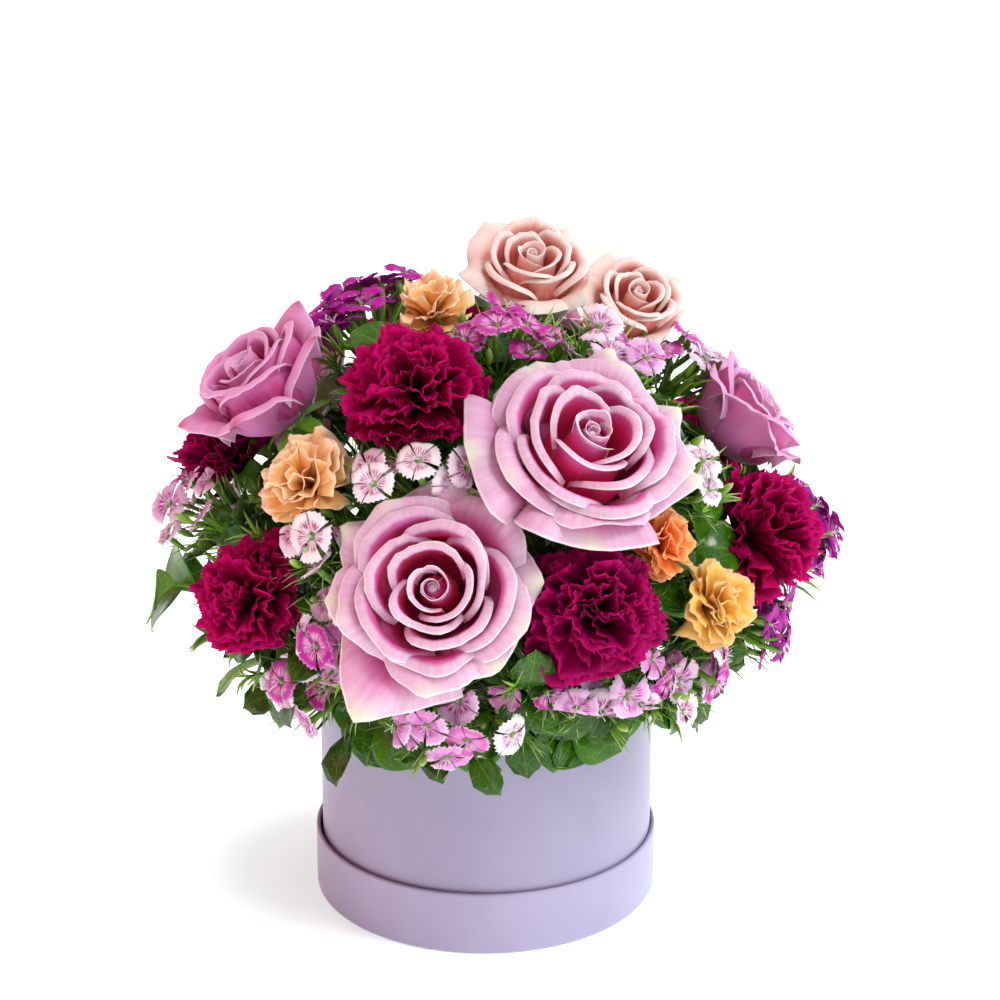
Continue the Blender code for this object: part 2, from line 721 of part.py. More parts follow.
def floret(centre, frame, radius, heart, cell):
    """Five fan petals as one shallow star, dished on top, that narrows below into its stalk."""
    ring = []
    for petal in range(5):
        for step, size in ((-0.24, 1.0), (0.24, 1.0), (0.5, 0.62)):
            angle = 2 * math.pi * (petal + step) / 5
            ring.append(radius * size * np.array((math.cos(angle), math.sin(angle), 0.09)))
    ring = centre + np.array(ring) @ frame.T
    stalk = STALK * np.array([(math.cos(a), math.sin(a), 0.0) for a in 2 * math.pi * np.arange(3) / 3 + 1.2])
    neck = centre + (stalk - (0.0, 0.0, 0.33 * radius)) @ frame.T
    foot = heart + stalk @ frame.T
    points = pressed(np.vstack((centre - 0.10 * radius * frame[:, 2], ring, neck)), cell)
    star = bmesh.new()
    top = star.verts.new(points[0])
    outer = [star.verts.new(point) for point in points[1:16]]
    under = [star.verts.new(point) for point in points[16:]]
    lower = [star.verts.new(point) for point in foot]
    for index in range(15):
        here, after = outer[index], outer[(index + 1) % 15]
        near, far = under[index // 5], under[(index + 1) // 5 % 3]
        star.faces.new((top, here, after))
        star.faces.new((near, after, here))
        if near is not far:
            star.faces.new((near, far, after))
    for index in range(3):
        here, after = index, (index + 1) % 3
        star.faces.new((lower[here], lower[after], under[after], under[here]))
    star.faces.new(lower[::-1])
    bmesh.ops.triangulate(star, faces=star.faces[:])
    bmesh.ops.recalc_face_normals(star, faces=star.faces[:])
    mesh = bpy.data.meshes.new("floret")
    star.to_mesh(mesh)
    star.free()
    return as_object(mesh)


def floret_places(settings, frame):
    """Sunflower spiral over the oval head: the centre and outward frame of each floret."""
    wide, tall = settings["spread"]
    count = settings["florets"]
    out = frame[:, 2]
    for index in range(count):
        ring = 1.35 * math.sqrt((index + 0.3) / count)
        angle = index * GOLDEN_ANGLE + math.radians(settings["turn"])
        x, y = wide * ring * math.cos(angle), tall * ring * math.sin(angle)
        depth = settings["place"][2] - FLORET_STEP * (index % 4) - 0.002 * ring
        centre = STEM_CENTRE + depth * out + x * frame[:, 0] + y * frame[:, 1]
        facing = out + 9.0 * (x * frame[:, 0] + y * frame[:, 1])
        facing /= np.linalg.norm(facing)
        right = np.cross(frame[:, 1], facing)
        right /= np.linalg.norm(right)
        yield centre, np.column_stack((right, np.cross(facing, right), facing))


def make_dianthus(name, settings, group):
    """A leafy stem that forks into thin stalks, each with a floret, and a tuft of narrow bracts."""
    frame = head_frame(settings["place"])
    cell = cell_walls(name)
    out = frame[:, 2]
    fork = settings["place"][2] - FORK_DEPTH
    heart = STEM_CENTRE + fork * out
    profile = [
        (0.0, fork + 0.0020), (0.0030, fork + 0.0015), (0.0026, fork - 0.0015),
        (SPRAY_STEM, fork - 0.005), (SPRAY_STEM, STEM_INNER_END), (0.0, STEM_INNER_END),
    ]
    stem = as_object(turned(profile, STEM_SIDES, None, frame, STEM_CENTRE))
    parts = []
    for centre, facing in floret_places(settings, frame):
        centre = pressed(centre[None, :], cell)[0]
        parts.append(floret(centre, facing, FLORET_RADIUS, heart, cell))
    wide, tall = settings["spread"]
    for index in range(BRACTS):
        angle = (index + 0.5) * 2 * math.pi / BRACTS
        spread_x = (wide + BRACT_SPREAD) * math.cos(angle)
        spread_y = (tall + BRACT_SPREAD) * math.sin(angle)
        tip = heart + spread_x * frame[:, 0] + spread_y * frame[:, 1]
        tip = tip + (BRACT_LENGTH - 0.006 * (index % 2)) * out
        tip = pressed(tip[None, :], cell)[0]
        parts.append(rod(heart - 0.001 * out, tip, 0.0011, 0.0, 3))
    if settings["place"][1] >= LEAFY_FROM:
        parts += stem_leaves("dianthus", frame, fork, cell)
    fused(name, stem, parts, settings["kind"], group)


# Leaves


def make_leaves(name, settings, group):
    """A thin woody stem with broad leaves that spread from its tip."""
    frame = head_frame(settings["place"])
    cell = cell_walls(name)
    out = frame[:, 2]
    length = settings["length"]
    tip = settings["place"][2] - LEAF_STEM_SHORT
    stem = rod(
        STEM_CENTRE + STEM_INNER_END * out, STEM_CENTRE + tip * out, SPRAY_STEM, SPRAY_STEM, 4
    )
    parts = []
    for index, turn in enumerate(settings["turns"]):
        along, normal = leaf_way(frame, math.radians(turn), math.radians(settings["tilt"]))
        start = STEM_CENTRE + (tip - 0.002 - 0.005 * index) * out
        surface = leaf_surface(start, along, normal, length, LEAF_WIDTH * length)
        parts.append(leaf_blade(surface, normal, cell))
    fused(name, stem, parts, "leaf", group)


def main():
    clear_scene()
    group = new_collection("flower_hat_box")
    cutters = new_collection("cutters", hidden=True)
    make_lid(group)
    make_box(group)
    make_foam(make_liner(group), group, cutters)
    for name, settings in ROSES.items():
        make_rose(name, settings, group)
    for name, settings in CARNATIONS.items():
        make_carnation(name, settings, group, TIERS, 4, CARNATION_TUBE, leafy=True)
    for name, settings in SPRAY_CARNATIONS.items():
        make_carnation(name, settings, group, SPRAY_TIERS, 3, SPRAY_TUBE, leafy=False)
    for name, settings in DIANTHUS.items():
        make_dianthus(name, settings, group)
    for name, settings in LEAVES.items():
        make_leaves(name, settings, group)


main()
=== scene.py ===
import json
import math
import time

import bpy
import numpy as np
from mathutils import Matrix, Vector

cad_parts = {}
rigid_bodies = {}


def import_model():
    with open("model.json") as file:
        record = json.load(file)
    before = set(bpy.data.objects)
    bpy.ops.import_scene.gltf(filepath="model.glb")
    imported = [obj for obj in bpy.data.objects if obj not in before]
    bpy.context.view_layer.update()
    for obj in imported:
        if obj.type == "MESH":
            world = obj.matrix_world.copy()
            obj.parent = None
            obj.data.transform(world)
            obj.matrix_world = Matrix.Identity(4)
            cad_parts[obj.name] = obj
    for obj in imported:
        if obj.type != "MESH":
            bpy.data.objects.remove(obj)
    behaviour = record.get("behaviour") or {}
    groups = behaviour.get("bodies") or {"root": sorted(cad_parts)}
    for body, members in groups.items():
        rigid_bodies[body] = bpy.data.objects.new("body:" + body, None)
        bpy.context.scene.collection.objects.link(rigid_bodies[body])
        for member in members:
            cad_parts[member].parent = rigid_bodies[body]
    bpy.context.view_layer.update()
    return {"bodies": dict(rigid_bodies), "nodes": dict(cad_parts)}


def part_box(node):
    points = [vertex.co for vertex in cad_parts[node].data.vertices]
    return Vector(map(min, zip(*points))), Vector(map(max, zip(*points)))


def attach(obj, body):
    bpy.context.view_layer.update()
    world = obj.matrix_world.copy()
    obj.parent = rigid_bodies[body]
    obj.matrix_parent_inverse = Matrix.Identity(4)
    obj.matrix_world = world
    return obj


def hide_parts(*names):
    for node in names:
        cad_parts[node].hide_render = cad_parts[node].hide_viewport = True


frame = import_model()
startTime = time.time()
root = next(iter(frame["bodies"]))


def stage(words):
    print("scene: %5.1f s %s" % (time.time() - startTime, words))


# Holder sizes come from the frame
lidLow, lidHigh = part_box("lid")
boxLow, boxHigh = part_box("box")

# All stems point at stemCentre and begin at this distance from it
stemCentre = np.array((0.0, 0.0, 0.140))
stemInnerEnd = 0.036
goldenAngle = math.radians(137.508)


# A table's rows as dictionaries with these keys, of which a row may leave out the last
def rowsOf(keys, table):
    return {name: dict(zip(keys, row)) for name, row in table.items()}


# A place is the azimuth and elevation of a stem in degrees (azimuth 0 is the front, 90 is +X) and
# the distance from stemCentre to the plane of the bloom's widest petals, as in the frame's solids.
# turn is how far a bloom is turned on its stem, and face where it looks if not along its stem.
roses = rowsOf(("place", "radius", "turn", "kind", "face"), dict(
    rose_front_low=((-9, 29, 0.165), 0.054, 49, "pink"),
    rose_front_high=((24, 50, 0.182), 0.057, 40, "pink"),
    rose_back=((172, 42, 0.176), 0.053, 40, "pink"),
    rose_lavender_left=((-76, 52, 0.187), 0.046, 10, "lavender"),
    rose_lavender_right=((94, 41, 0.178), 0.041, 55, "lavender"),
    rose_lavender_back=((-132, 34, 0.170), 0.044, 30, "lavender"),
    rose_blush_left=((150, 77, 0.201), 0.038, 0, "blush", (15, 64)),
    rose_blush_right=((113, 64, 0.197), 0.033, 50, "blush", (28, 54)),
))
carnations = rowsOf(("place", "radius", "turn", "kind"), dict(
    carnation_top=((-22, 61, 0.189), 0.041, 0, "crimson"),
    carnation_front_left=((-54, 21, 0.157), 0.036, 40, "crimson"),
    carnation_front_right=((21.5, 25.5, 0.161), 0.042, 80, "wine"),
    carnation_right=((79, 25, 0.164), 0.042, 15, "crimson"),
    carnation_left=((-93, 36, 0.170), 0.034, 60, "wine"),
    carnation_back_right=((127, 26, 0.163), 0.039, 25, "wine"),
    carnation_back_top=((-160, 53, 0.172), 0.038, 70, "crimson"),
))
sprayCarnations = rowsOf(("place", "radius", "turn", "kind"), dict(
    spray_carnation_top=((-37, 77, 0.195), 0.024, 0, "peach"),
    spray_carnation_left=((-43, 43, 0.176), 0.028, 30, "peach"),
    spray_carnation_centre=((37, 34, 0.169), 0.021, 50, "orange"),
    spray_carnation_right=((51, 20, 0.157), 0.024, 10, "yellow"),
    spray_carnation_back=((141, 50, 0.176), 0.025, 70, "peach"),
))
# spread is the half width and half height of the flat head that a spray's florets stand in, and
# sink draws them inwards
dianthus = rowsOf(("place", "spread", "kind", "sink"), dict(
    dianthus_purple_top=((-119, 67, 0.191), (0.036, 0.014), "purple"),
    dianthus_magenta_top=((8, 73, 0.195), (0.022, 0.010), "magenta"),
    dianthus_lilac_top=((53, 67, 0.192), (0.012, 0.015), "lilac"),
    dianthus_pink_right=((101, 54, 0.188), (0.012, 0.017), "candy"),
    dianthus_white_right=((56, 42, 0.176), (0.011, 0.011), "white"),
    dianthus_left=((-83, 28, 0.180), (0.024, 0.015), "candy", 0.001),
    dianthus_white_left=((-38, 34, 0.170), (0.011, 0.010), "white"),
    dianthus_centre=((-18, 48, 0.180), (0.027, 0.009), "candy"),
    dianthus_left_low=((-31, 19, 0.158), (0.010, 0.022), "candy"),
    dianthus_rim_left=((-46, 4, 0.136), (0.024, 0.012), "candy"),
    dianthus_rim_front=((-8, 3, 0.137), (0.030, 0.014), "candy"),
    dianthus_rim_right=((27, 6, 0.138), (0.032, 0.013), "lilac"),
    dianthus_right_low=((54, 5, 0.142), (0.025, 0.014), "candy"),
    dianthus_purple_right=((81, 8, 0.156), (0.018, 0.018), "purple"),
    dianthus_right=((94, 18, 0.193), (0.015, 0.018), "purple", 0.006),
    dianthus_back_left=((-112, 17, 0.158), (0.022, 0.018), "candy"),
    dianthus_back=((-172, 14, 0.152), (0.034, 0.018), "magenta"),
))
# turns are the directions that leaves point in, seen from outside: 0 is up, 90 is right
leaves = rowsOf(("place", "turns", "length", "tilt"), dict(
    leaves_top=((-59, 73, 0.186), (20, 130, 240), 0.030, 35),
    leaves_left=((-82, 13, 0.176), (100, 190, 290), 0.032, 24),
    leaves_right=((62, 31, 0.150), (10, 130, 240), 0.030, 35),
    leaves_rim_left=((-64, 2, 0.122), (120, 175, 235), 0.036, 22),
    leaves_rim_front_left=((-27, 1, 0.118), (140, 195, 260), 0.036, 22),
    leaves_rim_front_right=((26, 0, 0.114), (90, 140, 200), 0.038, 18),
    leaves_rim_right=((66, -1, 0.122), (100, 160, 215), 0.036, 22),
    leaves_back_right=((131, 4, 0.126), (60, 145, 225), 0.037, 24),
    leaves_back_left=((-140, 4, 0.126), (130, 215, 300), 0.037, 24),
    leaves_back=((159, 11, 0.128), (30, 120, 200, 290), 0.038, 26),
    leaves_side_right=((106, 1, 0.122), (40, 140, 220, 310), 0.036, 24),
))
placed = {**roses, **carnations, **sprayCarnations, **dianthus, **leaves}
blooms = (*roses.values(), *carnations.values(), *sprayCarnations.values())


# Unit vector at an azimuth and an elevation in degrees
def direction(azimuth, elevation):
    a, e = math.radians(azimuth), math.radians(elevation)
    return np.array((math.cos(e) * math.sin(a), -math.cos(e) * math.cos(a), math.sin(e)))


def unit(vector):
    return vector / np.linalg.norm(vector)


# Angle between two unit vectors
def angleBetween(first, second):
    return math.acos(float(np.clip(first @ second, -1.0, 1.0)))


# Columns of a turned frame: right, up and out, seen from outside along the stem
def headFrame(place, turn=0.0):
    out = direction(place[0], place[1])
    right = np.array((math.cos(math.radians(place[0])), math.sin(math.radians(place[0])), 0.0))
    up = np.cross(out, right)
    c, s = math.cos(math.radians(turn)), math.sin(math.radians(turn))
    return np.column_stack((c * right + s * up, c * up - s * right, out))


# What a spray takes up sideways: of leaves, a share of their length, and of florets, a margin
roomShare = dict(leaf=0.62, floret=0.007)


# Unit vector at an angle in the plane of a head
def inHead(axes, angle):
    return math.cos(angle) * axes[:, 0] + math.sin(angle) * axes[:, 1]


# Half the angle that a piece takes towards a direction: its size that way over its reach
def roomTowards(settings, other):
    reach = settings["place"][2]
    if "radius" in settings:
        return settings["radius"] / reach
    if "length" in settings:
        return roomShare["leaf"] * settings["length"] / reach
    axes = headFrame(settings["place"])
    x, y = axes[:, 0] @ other, axes[:, 1] @ other
    wide, tall = settings["spread"]
    return (math.hypot(wide * x, tall * y) / math.hypot(x, y) + roomShare["floret"]) / reach


# Normals of the planes through stemCentre that part a piece from each of the others
def cellWalls(name):
    own = direction(*placed[name]["place"][:2])
    walls = []
    for other, settings in placed.items():
        if other == name:
            continue
        theirs = direction(*settings["place"][:2])
        ownRoom = roomTowards(placed[name], theirs)
        split = angleBetween(own, theirs) * ownRoom / (ownRoom + roomTowards(settings, own))
        across = unit(theirs - (theirs @ own) * own)
        walls.append(math.cos(split) * across - math.sin(split) * own)
    return own, np.array(walls)


# Points drawn in towards the stem's line, softly and in order, so that all stay in the cell:
# width = start + rest tanh((width - start) / rest), where rest is what is left to the wall
def pressed(points, cell, gap=0.0009, free=0.72):
    own, walls = cell
    shape = points.shape
    away = points.reshape(-1, 3) - stemCentre
    along = away @ own
    side = away - along[:, None] * own
    width = np.linalg.norm(side, axis=1)
    unit = side / np.maximum(width, 1e-9)[:, None]
    slope = unit @ walls.T
    room = -gap - along[:, None] * (walls @ own)[None, :]
    limit = np.where(slope > 1e-6, room / np.maximum(slope, 1e-6), 1.0).min(axis=1)
    start = free * limit
    rest = np.maximum(limit - start, 1e-6)
    width = np.where(width > start, start + rest * np.tanh((width - start) / rest), width)
    return (stemCentre + along[:, None] * own + unit * width[:, None]).reshape(shape)


# Meshes from grids of points. The faces of each size of grid are kept for the next such grid.

gridFaces = {}


# Faces of a closed sheet on a grid of rows by columns: the front, the back and the rim round both
def sheetFaces(rows, columns):
    if (rows, columns) not in gridFaces:
        front = np.arange(rows * columns).reshape(rows, columns)
        back = front + rows * columns
        faces = np.stack((front[:-1, :-1], front[1:, :-1], front[1:, 1:], front[:-1, 1:]), axis=-1)
        under = np.stack((back[:-1, :-1], back[:-1, 1:], back[1:, 1:], back[1:, :-1]), axis=-1)
        loop = np.concatenate((front[:, 0], front[-1, 1:], front[-2::-1, -1], front[0, -2:0:-1]))
        after = np.roll(loop, -1)
        rim = np.stack((after, loop, loop + rows * columns, after + rows * columns), axis=-1)
        quads = np.concatenate((faces.reshape(-1, 4), under.reshape(-1, 4), rim))
        flat = np.arange(len(quads)) >= len(quads) - len(rim)
        gridFaces[rows, columns] = (quads, flat)
    return gridFaces[rows, columns]


# A thin closed sheet. Its front looks along (root to tip) x (across). It thins towards its edge.
# at holds where each row lies between root and tip.
def sheet(points, thick, tint=0.5, layer=0.0, material=0, at=None):
    rows, columns = points.shape[:2]
    along = np.gradient(points, axis=0)
    across = np.gradient(points, axis=1)
    normal = np.cross(along, across)
    normal /= np.maximum(np.linalg.norm(normal, axis=-1, keepdims=True), 1e-12)
    at = np.linspace(0, 1, rows) if at is None else at
    u, v = np.meshgrid(at, np.linspace(0, 1, columns), indexing="ij")
    half = 0.5 * thick * (1.0 - 0.55 * np.maximum(u, np.abs(2 * v - 1)) ** 6)[..., None] * normal
    verts = np.concatenate(((points + half).reshape(-1, 3), (points - half).reshape(-1, 3)))
    uv = np.tile(np.stack((v.ravel(), u.ravel()), axis=-1), (2, 1))
    side = np.repeat((1.0, 0.0), rows * columns)
    marks = np.stack((np.full(len(verts), tint), np.full(len(verts), layer), side), axis=-1)
    quads, flat = sheetFaces(rows, columns)
    return dict(verts=verts, quads=quads, flat=flat, caps=np.zeros((0, 3), int), uv=uv, marks=marks,
                material=material)


# A closed part of rings of points between two poles, with UV as (round, along)
def ringPart(rings, poles, along, tint, layer, material):
    count, sides = rings.shape[:2]
    verts = np.concatenate((rings.reshape(-1, 3), poles))
    here = np.arange(count * sides).reshape(count, sides)
    after = np.roll(here, -1, axis=1)
    quads = np.stack((here[:-1], here[1:], after[1:], after[:-1]), axis=-1).reshape(-1, 4)
    low = np.stack((np.full(sides, count * sides), here[0], after[0]), axis=-1)
    high = np.stack((np.full(sides, count * sides + 1), after[-1], here[-1]), axis=-1)
    uv = np.stack((np.tile(np.linspace(0, 1, sides), count), np.repeat(along, sides)), axis=-1)
    uv = np.concatenate((uv, ((0.5, 0.0), (0.5, 1.0))))
    marks = np.tile((tint, layer, 1.0), (len(verts), 1))
    return dict(verts=verts, quads=quads, flat=np.zeros(len(quads), bool), uv=uv, marks=marks,
                caps=np.concatenate((low, high)), material=material)


# A closed tube through path with a radius at each point, squashed to flatten of its width
def tube(path, radii, sides, tint, layer=0.0, material=1, flatten=1.0):
    path = np.asarray(path, float)
    along = np.gradient(path, axis=0)
    along /= np.linalg.norm(along, axis=1, keepdims=True)
    first = np.cross(along, np.eye(3)[np.argmin(np.abs(along[0]))])
    first /= np.linalg.norm(first, axis=1, keepdims=True)
    second = np.cross(along, first) * flatten
    angle = 2 * math.pi * np.arange(sides)[:, None] / sides
    ring = np.cos(angle) * first[:, None] + np.sin(angle) * second[:, None]
    rings = path[:, None] + np.asarray(radii, float)[:, None, None] * ring
    return ringPart(rings, path[[0, -1]], np.linspace(0, 1, len(path)), tint, layer, material)


# Points so far out from an axis and sideways, turned about it, and lifted along it
def aroundAxis(out, sideways, turn, lift):
    cosine, sine = math.cos(turn), math.sin(turn)
    return np.stack((out * cosine - sideways * sine, out * sine + sideways * cosine, lift), axis=-1)


# Rows and columns of a petal's grid: u from root to tip and v from edge to edge
def petalGrid(rows, columns):
    return np.linspace(0, 1, rows)[:, None], np.linspace(-1, 1, columns)[None, :]


def anyPhase(rng):
    return 6.3 * rng.random()


# A straight stem along way through the given distances from stemCentre
def stalk(way, distances, radii, sides, tint):
    distances = np.asarray(distances)[:, None]
    return tube(stemCentre + distances * way, np.broadcast_to(radii, len(distances)), sides, tint)


def newObject(name, data):
    made = bpy.data.objects.new(name, data)
    bpy.context.scene.collection.objects.link(made)
    return made


def newCollection(name, *pieces):
    made = bpy.data.collections.new(name)
    for piece in pieces:
        made.objects.link(piece)
    return made


# One object of many closed parts. UV is (across, along); marks hold tint, layer and side
def makePiece(name, parts, materials, nodes):
    starts = np.cumsum([0] + [len(part["verts"]) for part in parts])
    quads, caps = (
        np.concatenate([part[key] + start for part, start in zip(parts, starts)])
        for key in ("quads", "caps"))
    verts, uv, marks, flat = (
        np.concatenate([part[key] for part in parts]) for key in ("verts", "uv", "marks", "flat"))
    index = [np.full(len(part[key]), part["material"]) for key in ("quads", "caps") for part in parts]
    corners = np.concatenate((quads.ravel(), caps.ravel())).astype(np.int32)
    begins = np.concatenate((4 * np.arange(len(quads)), 4 * len(quads) + 3 * np.arange(len(caps))))
    mesh = bpy.data.meshes.new(name)
    mesh.vertices.add(len(verts))
    mesh.vertices.foreach_set("co", verts.ravel())
    mesh.loops.add(len(corners))
    mesh.loops.foreach_set("vertex_index", corners)
    mesh.polygons.add(len(begins))
    mesh.polygons.foreach_set("loop_start", begins.astype(np.int32))
    mesh.polygons.foreach_set("material_index", np.concatenate(index).astype(np.int32))
    mesh.polygons.foreach_set("use_smooth", ~np.concatenate((flat, np.zeros(len(caps), bool))))
    mesh.update(calc_edges=True)
    mesh.uv_layers.new(name="petal").data.foreach_set("uv", uv[corners].ravel())
    mesh.attributes.new("marks", "FLOAT_VECTOR", "POINT").data.foreach_set("vector", marks.ravel())
    for material in materials:
        mesh.materials.append(material)
    piece = newObject(name, mesh)
    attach(piece, root)
    if nodes:
        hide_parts(*nodes)
    return piece


# Colours and nodes


# Linear colour of a hex code as a screen shows it
def paint(code):
    shown = [int(code[i : i + 2], 16) / 255 for i in (1, 3, 5)]
    linear = [c / 12.92 if c <= 0.04045 else ((c + 0.055) / 1.055) ** 2.4 for c in shown]
    return (*linear, 1.0)


# Gives a node its inputs: links to a socket, or else sets the value
def feed(tree, node, inputs):
    for key, value in inputs.items():
        if isinstance(value, bpy.types.NodeSocket):
            tree.links.new(value, node.inputs[key])
        else:
            node.inputs[key].default_value = value
    return node


def addNode(tree, kind, inputs=(), **settings):
    made = tree.nodes.new("ShaderNode" + kind)
    for key, value in settings.items():
        setattr(made, key, value)
    return feed(tree, made, dict(inputs))


def calc(tree, operation, first, second=0.0, third=0.0):
    return addNode(tree, "Math", {0: first, 1: second, 2: third}, operation=operation).outputs[0]


def times(tree, first, second):
    return calc(tree, "MULTIPLY", first, second)


# slope value + base
def linear(tree, value, slope, base):
    return calc(tree, "MULTIPLY_ADD", value, slope, base)


# Goes from 0 to 1 as value goes from low to high, eased at both ends
def easeStep(tree, value, low, high):
    inputs = {"Value": value, "From Min": low, "From Max": high}
    return addNode(tree, "MapRange", inputs, interpolation_type="SMOOTHSTEP").outputs[0]


# Goes from 1 to 0: 1 - easeStep
def fallStep(tree, value, low, high):
    return calc(tree, "SUBTRACT", 1.0, easeStep(tree, value, low, high))


def blend(tree, factor, first, second):
    return addNode(tree, "Mix", {0: factor, 6: first, 7: second}, data_type="RGBA").outputs[2]


# The colour with another over it where the mask is, at the given strength
def wash(tree, colour, mask, strength, other):
    return blend(tree, times(tree, mask, strength), colour, other)


def noise(tree, place, scale, detail, rough=0.5):
    inputs = {"Vector": place, "Scale": scale, "Detail": detail, "Roughness": rough}
    return addNode(tree, "TexNoise", inputs).outputs["Fac"]


# Distance to the nearest border between random cells
def cellEdges(tree, place, scale):
    inputs = {"Vector": place, "Scale": scale}
    return addNode(tree, "TexVoronoi", inputs, feature="DISTANCE_TO_EDGE").outputs["Distance"]


def objectPlace(tree):
    return addNode(tree, "TexCoord").outputs["Object"]


# Place in a texture from a petal's own coordinates, each with its scale
def ownPlace(tree, own, across, along, tint):
    scales = dict(across=across, along=along, tint=tint)
    inputs = {index: times(tree, own[key], scales[key]) for index, key in enumerate(scales)}
    return addNode(tree, "CombineXYZ", inputs).outputs[0]


def newGroup(name, inputs, outputs):
    tree = bpy.data.node_groups.new(name, "ShaderNodeTree")
    for labels, way in ((inputs, "INPUT"), (outputs, "OUTPUT")):
        for label in labels:
            tree.interface.new_socket(label, in_out=way, socket_type="NodeSocketFloat")
    return tree, tree.nodes.new("NodeGroupInput").outputs, tree.nodes.new("NodeGroupOutput").inputs


# Reads a petal's own coordinates: across and along from 0 to 1, edge 0 at its middle line and 1 at
# its sides, and the tint, layer and side that its mesh marks
def petalReader():
    tree, _, outputs = newGroup("petalReader", (), ("across", "along", "edge", "tint", "layer", "side"))
    uv = addNode(tree, "SeparateXYZ", {0: addNode(tree, "UVMap", uv_map="petal").outputs[0]}).outputs
    marks = addNode(tree, "Attribute", attribute_name="marks").outputs["Vector"]
    marks = addNode(tree, "SeparateXYZ", {0: marks}).outputs
    edge = calc(tree, "ABSOLUTE", linear(tree, uv[0], 2.0, -1.0))
    for value, target in zip((uv[0], uv[1], edge, marks[0], marks[1], marks[2]), outputs):
        tree.links.new(value, target)
    return tree


# Fine lines that run from root to tip and fan out: noise stretched along the petal, new on each one
def petalVeins():
    tree, inputs, outputs = newGroup("petalVeins", ("across", "along", "tint", "count"), ("lines",))
    lines = noise(tree, ownPlace(tree, inputs, inputs["count"], 2.2, 37.0), 1.0, 3.0, 0.6)
    tree.links.new(easeStep(tree, lines, 0.35, 0.65), outputs["lines"])
    return tree


# Soft blotches in the object's own space
def softBlotches():
    tree, inputs, outputs = newGroup("softBlotches", ("size",), ("value",))
    value = noise(tree, objectPlace(tree), inputs["size"], 3.0)
    tree.links.new(easeStep(tree, value, 0.3, 0.7), outputs["value"])
    return tree


readerGroup = petalReader()
veinGroup = petalVeins()
blotchGroup = softBlotches()


def useGroup(tree, group, **inputs):
    return addNode(tree, "Group", inputs, node_tree=group).outputs


def veinsOf(tree, own, count):
    known = {key: own[key] for key in ("across", "along", "tint")}
    return useGroup(tree, veinGroup, count=count, **known)[0]


def blotches(tree, size):
    return useGroup(tree, blotchGroup, size=size)[0]


def newMaterial(name, **constants):
    material = bpy.data.materials.new(name)
    material.use_nodes = True
    shader = material.node_tree.nodes["Principled BSDF"]
    for key, value in constants.items():
        shader.inputs[key.replace("_", " ")].default_value = value
    return material, material.node_tree, shader


# Gives a shader its colour, a bump as (height, strength, distance) and a roughness as (value, slope,
# base)
def dress(tree, shader, colour, bump, rough=None):
    bump = addNode(tree, "Bump", zip(("Height", "Strength", "Distance"), bump))
    feed(tree, shader, {"Base Color": colour, "Normal": bump.outputs[0]})
    if rough:
        tree.links.new(linear(tree, *rough), shader.inputs["Roughness"])


stage("helpers ready")

# Camera, light and floor

camera = newObject("camera", bpy.data.cameras.new("camera"))
camera.location = (0.0, -1.4795, 0.7592)
camera.rotation_euler = Vector((0.00488, 0.93830, -0.34579)).to_track_quat("-Z", "Y").to_euler()
camera.data.lens = 110.6
camera.data.sensor_width = 36.0
bpy.context.scene.camera = camera


# A sun that shines along way, with a disc so many degrees wide
def addSun(name, energy, degrees, way):
    sun = newObject(name, bpy.data.lights.new(name, "SUN"))
    sun.data.energy = energy
    sun.data.angle = math.radians(degrees)
    sun.rotation_euler = Vector(way).to_track_quat("-Z", "Y").to_euler()
    return sun


addSun("window_light", 1.15, 13, (-0.55, 0.36, -1.0))
leafGlint = addSun("leaf_glint", 1.5, 9, (-0.25, 0.83, -0.50))
backdropLight = addSun("backdrop_light", 1.5, 26, (-0.60, 0.12, -1.0))
floorFill = addSun("floor_fill", 1.5, 40, (0.0, 0.0, -1.0))
floorFill.data.color = (0.64, 1.0, 0.93)
floorFill.data.use_shadow = False

# The world's strength is 0.27 and more from the right, the left and the top
world = bpy.data.worlds.new("studio")
world.use_nodes = True
tree = world.node_tree
sky = addNode(tree, "SeparateXYZ", {0: addNode(tree, "TexCoord").outputs["Generated"]}).outputs
fromRight = easeStep(tree, sky[0], 0.10, 0.95)
fromLeft = easeStep(tree, times(tree, sky[0], -1.0), 0.10, 0.95)
fromTop = easeStep(tree, sky[2], 0.0, 0.9)
level = 0.27
for share, strength in ((fromRight, 1.20), (fromLeft, 0.66), (fromTop, 0.45)):
    level = linear(tree, share, strength, level)
tint = blend(tree, fromLeft, paint("#fafaff"), paint("#ff7c82"))
feed(tree, tree.nodes["Background"], {"Strength": level, "Color": tint})
bpy.context.scene.world = world
bpy.context.scene.view_settings.view_transform = "Standard"

floorHalf = 6.0
floorMesh = bpy.data.meshes.new("floor")
floorCorners = [(floorHalf * x, floorHalf * y, 0.0) for x, y in ((-1, -1), (1, -1), (1, 1), (-1, 1))]
floorMesh.from_pydata(floorCorners, [], [(0, 1, 2, 3)])
floorMesh.materials.append(newMaterial("floor_paper", Base_Color=paint("#ffffff"), Roughness=0.9)[0])
floor = newObject("floor", floorMesh)
floorOnly = newCollection("floor_only", floor)
for sun in (backdropLight, floorFill):
    sun.light_linking.receiver_collection = floorOnly

# Box and lid

board = dict(wall=0.0022, roll=0.0011, fillet=0.0012, boxFoot=0.0016, lidFoot=0.0022, sides=160)


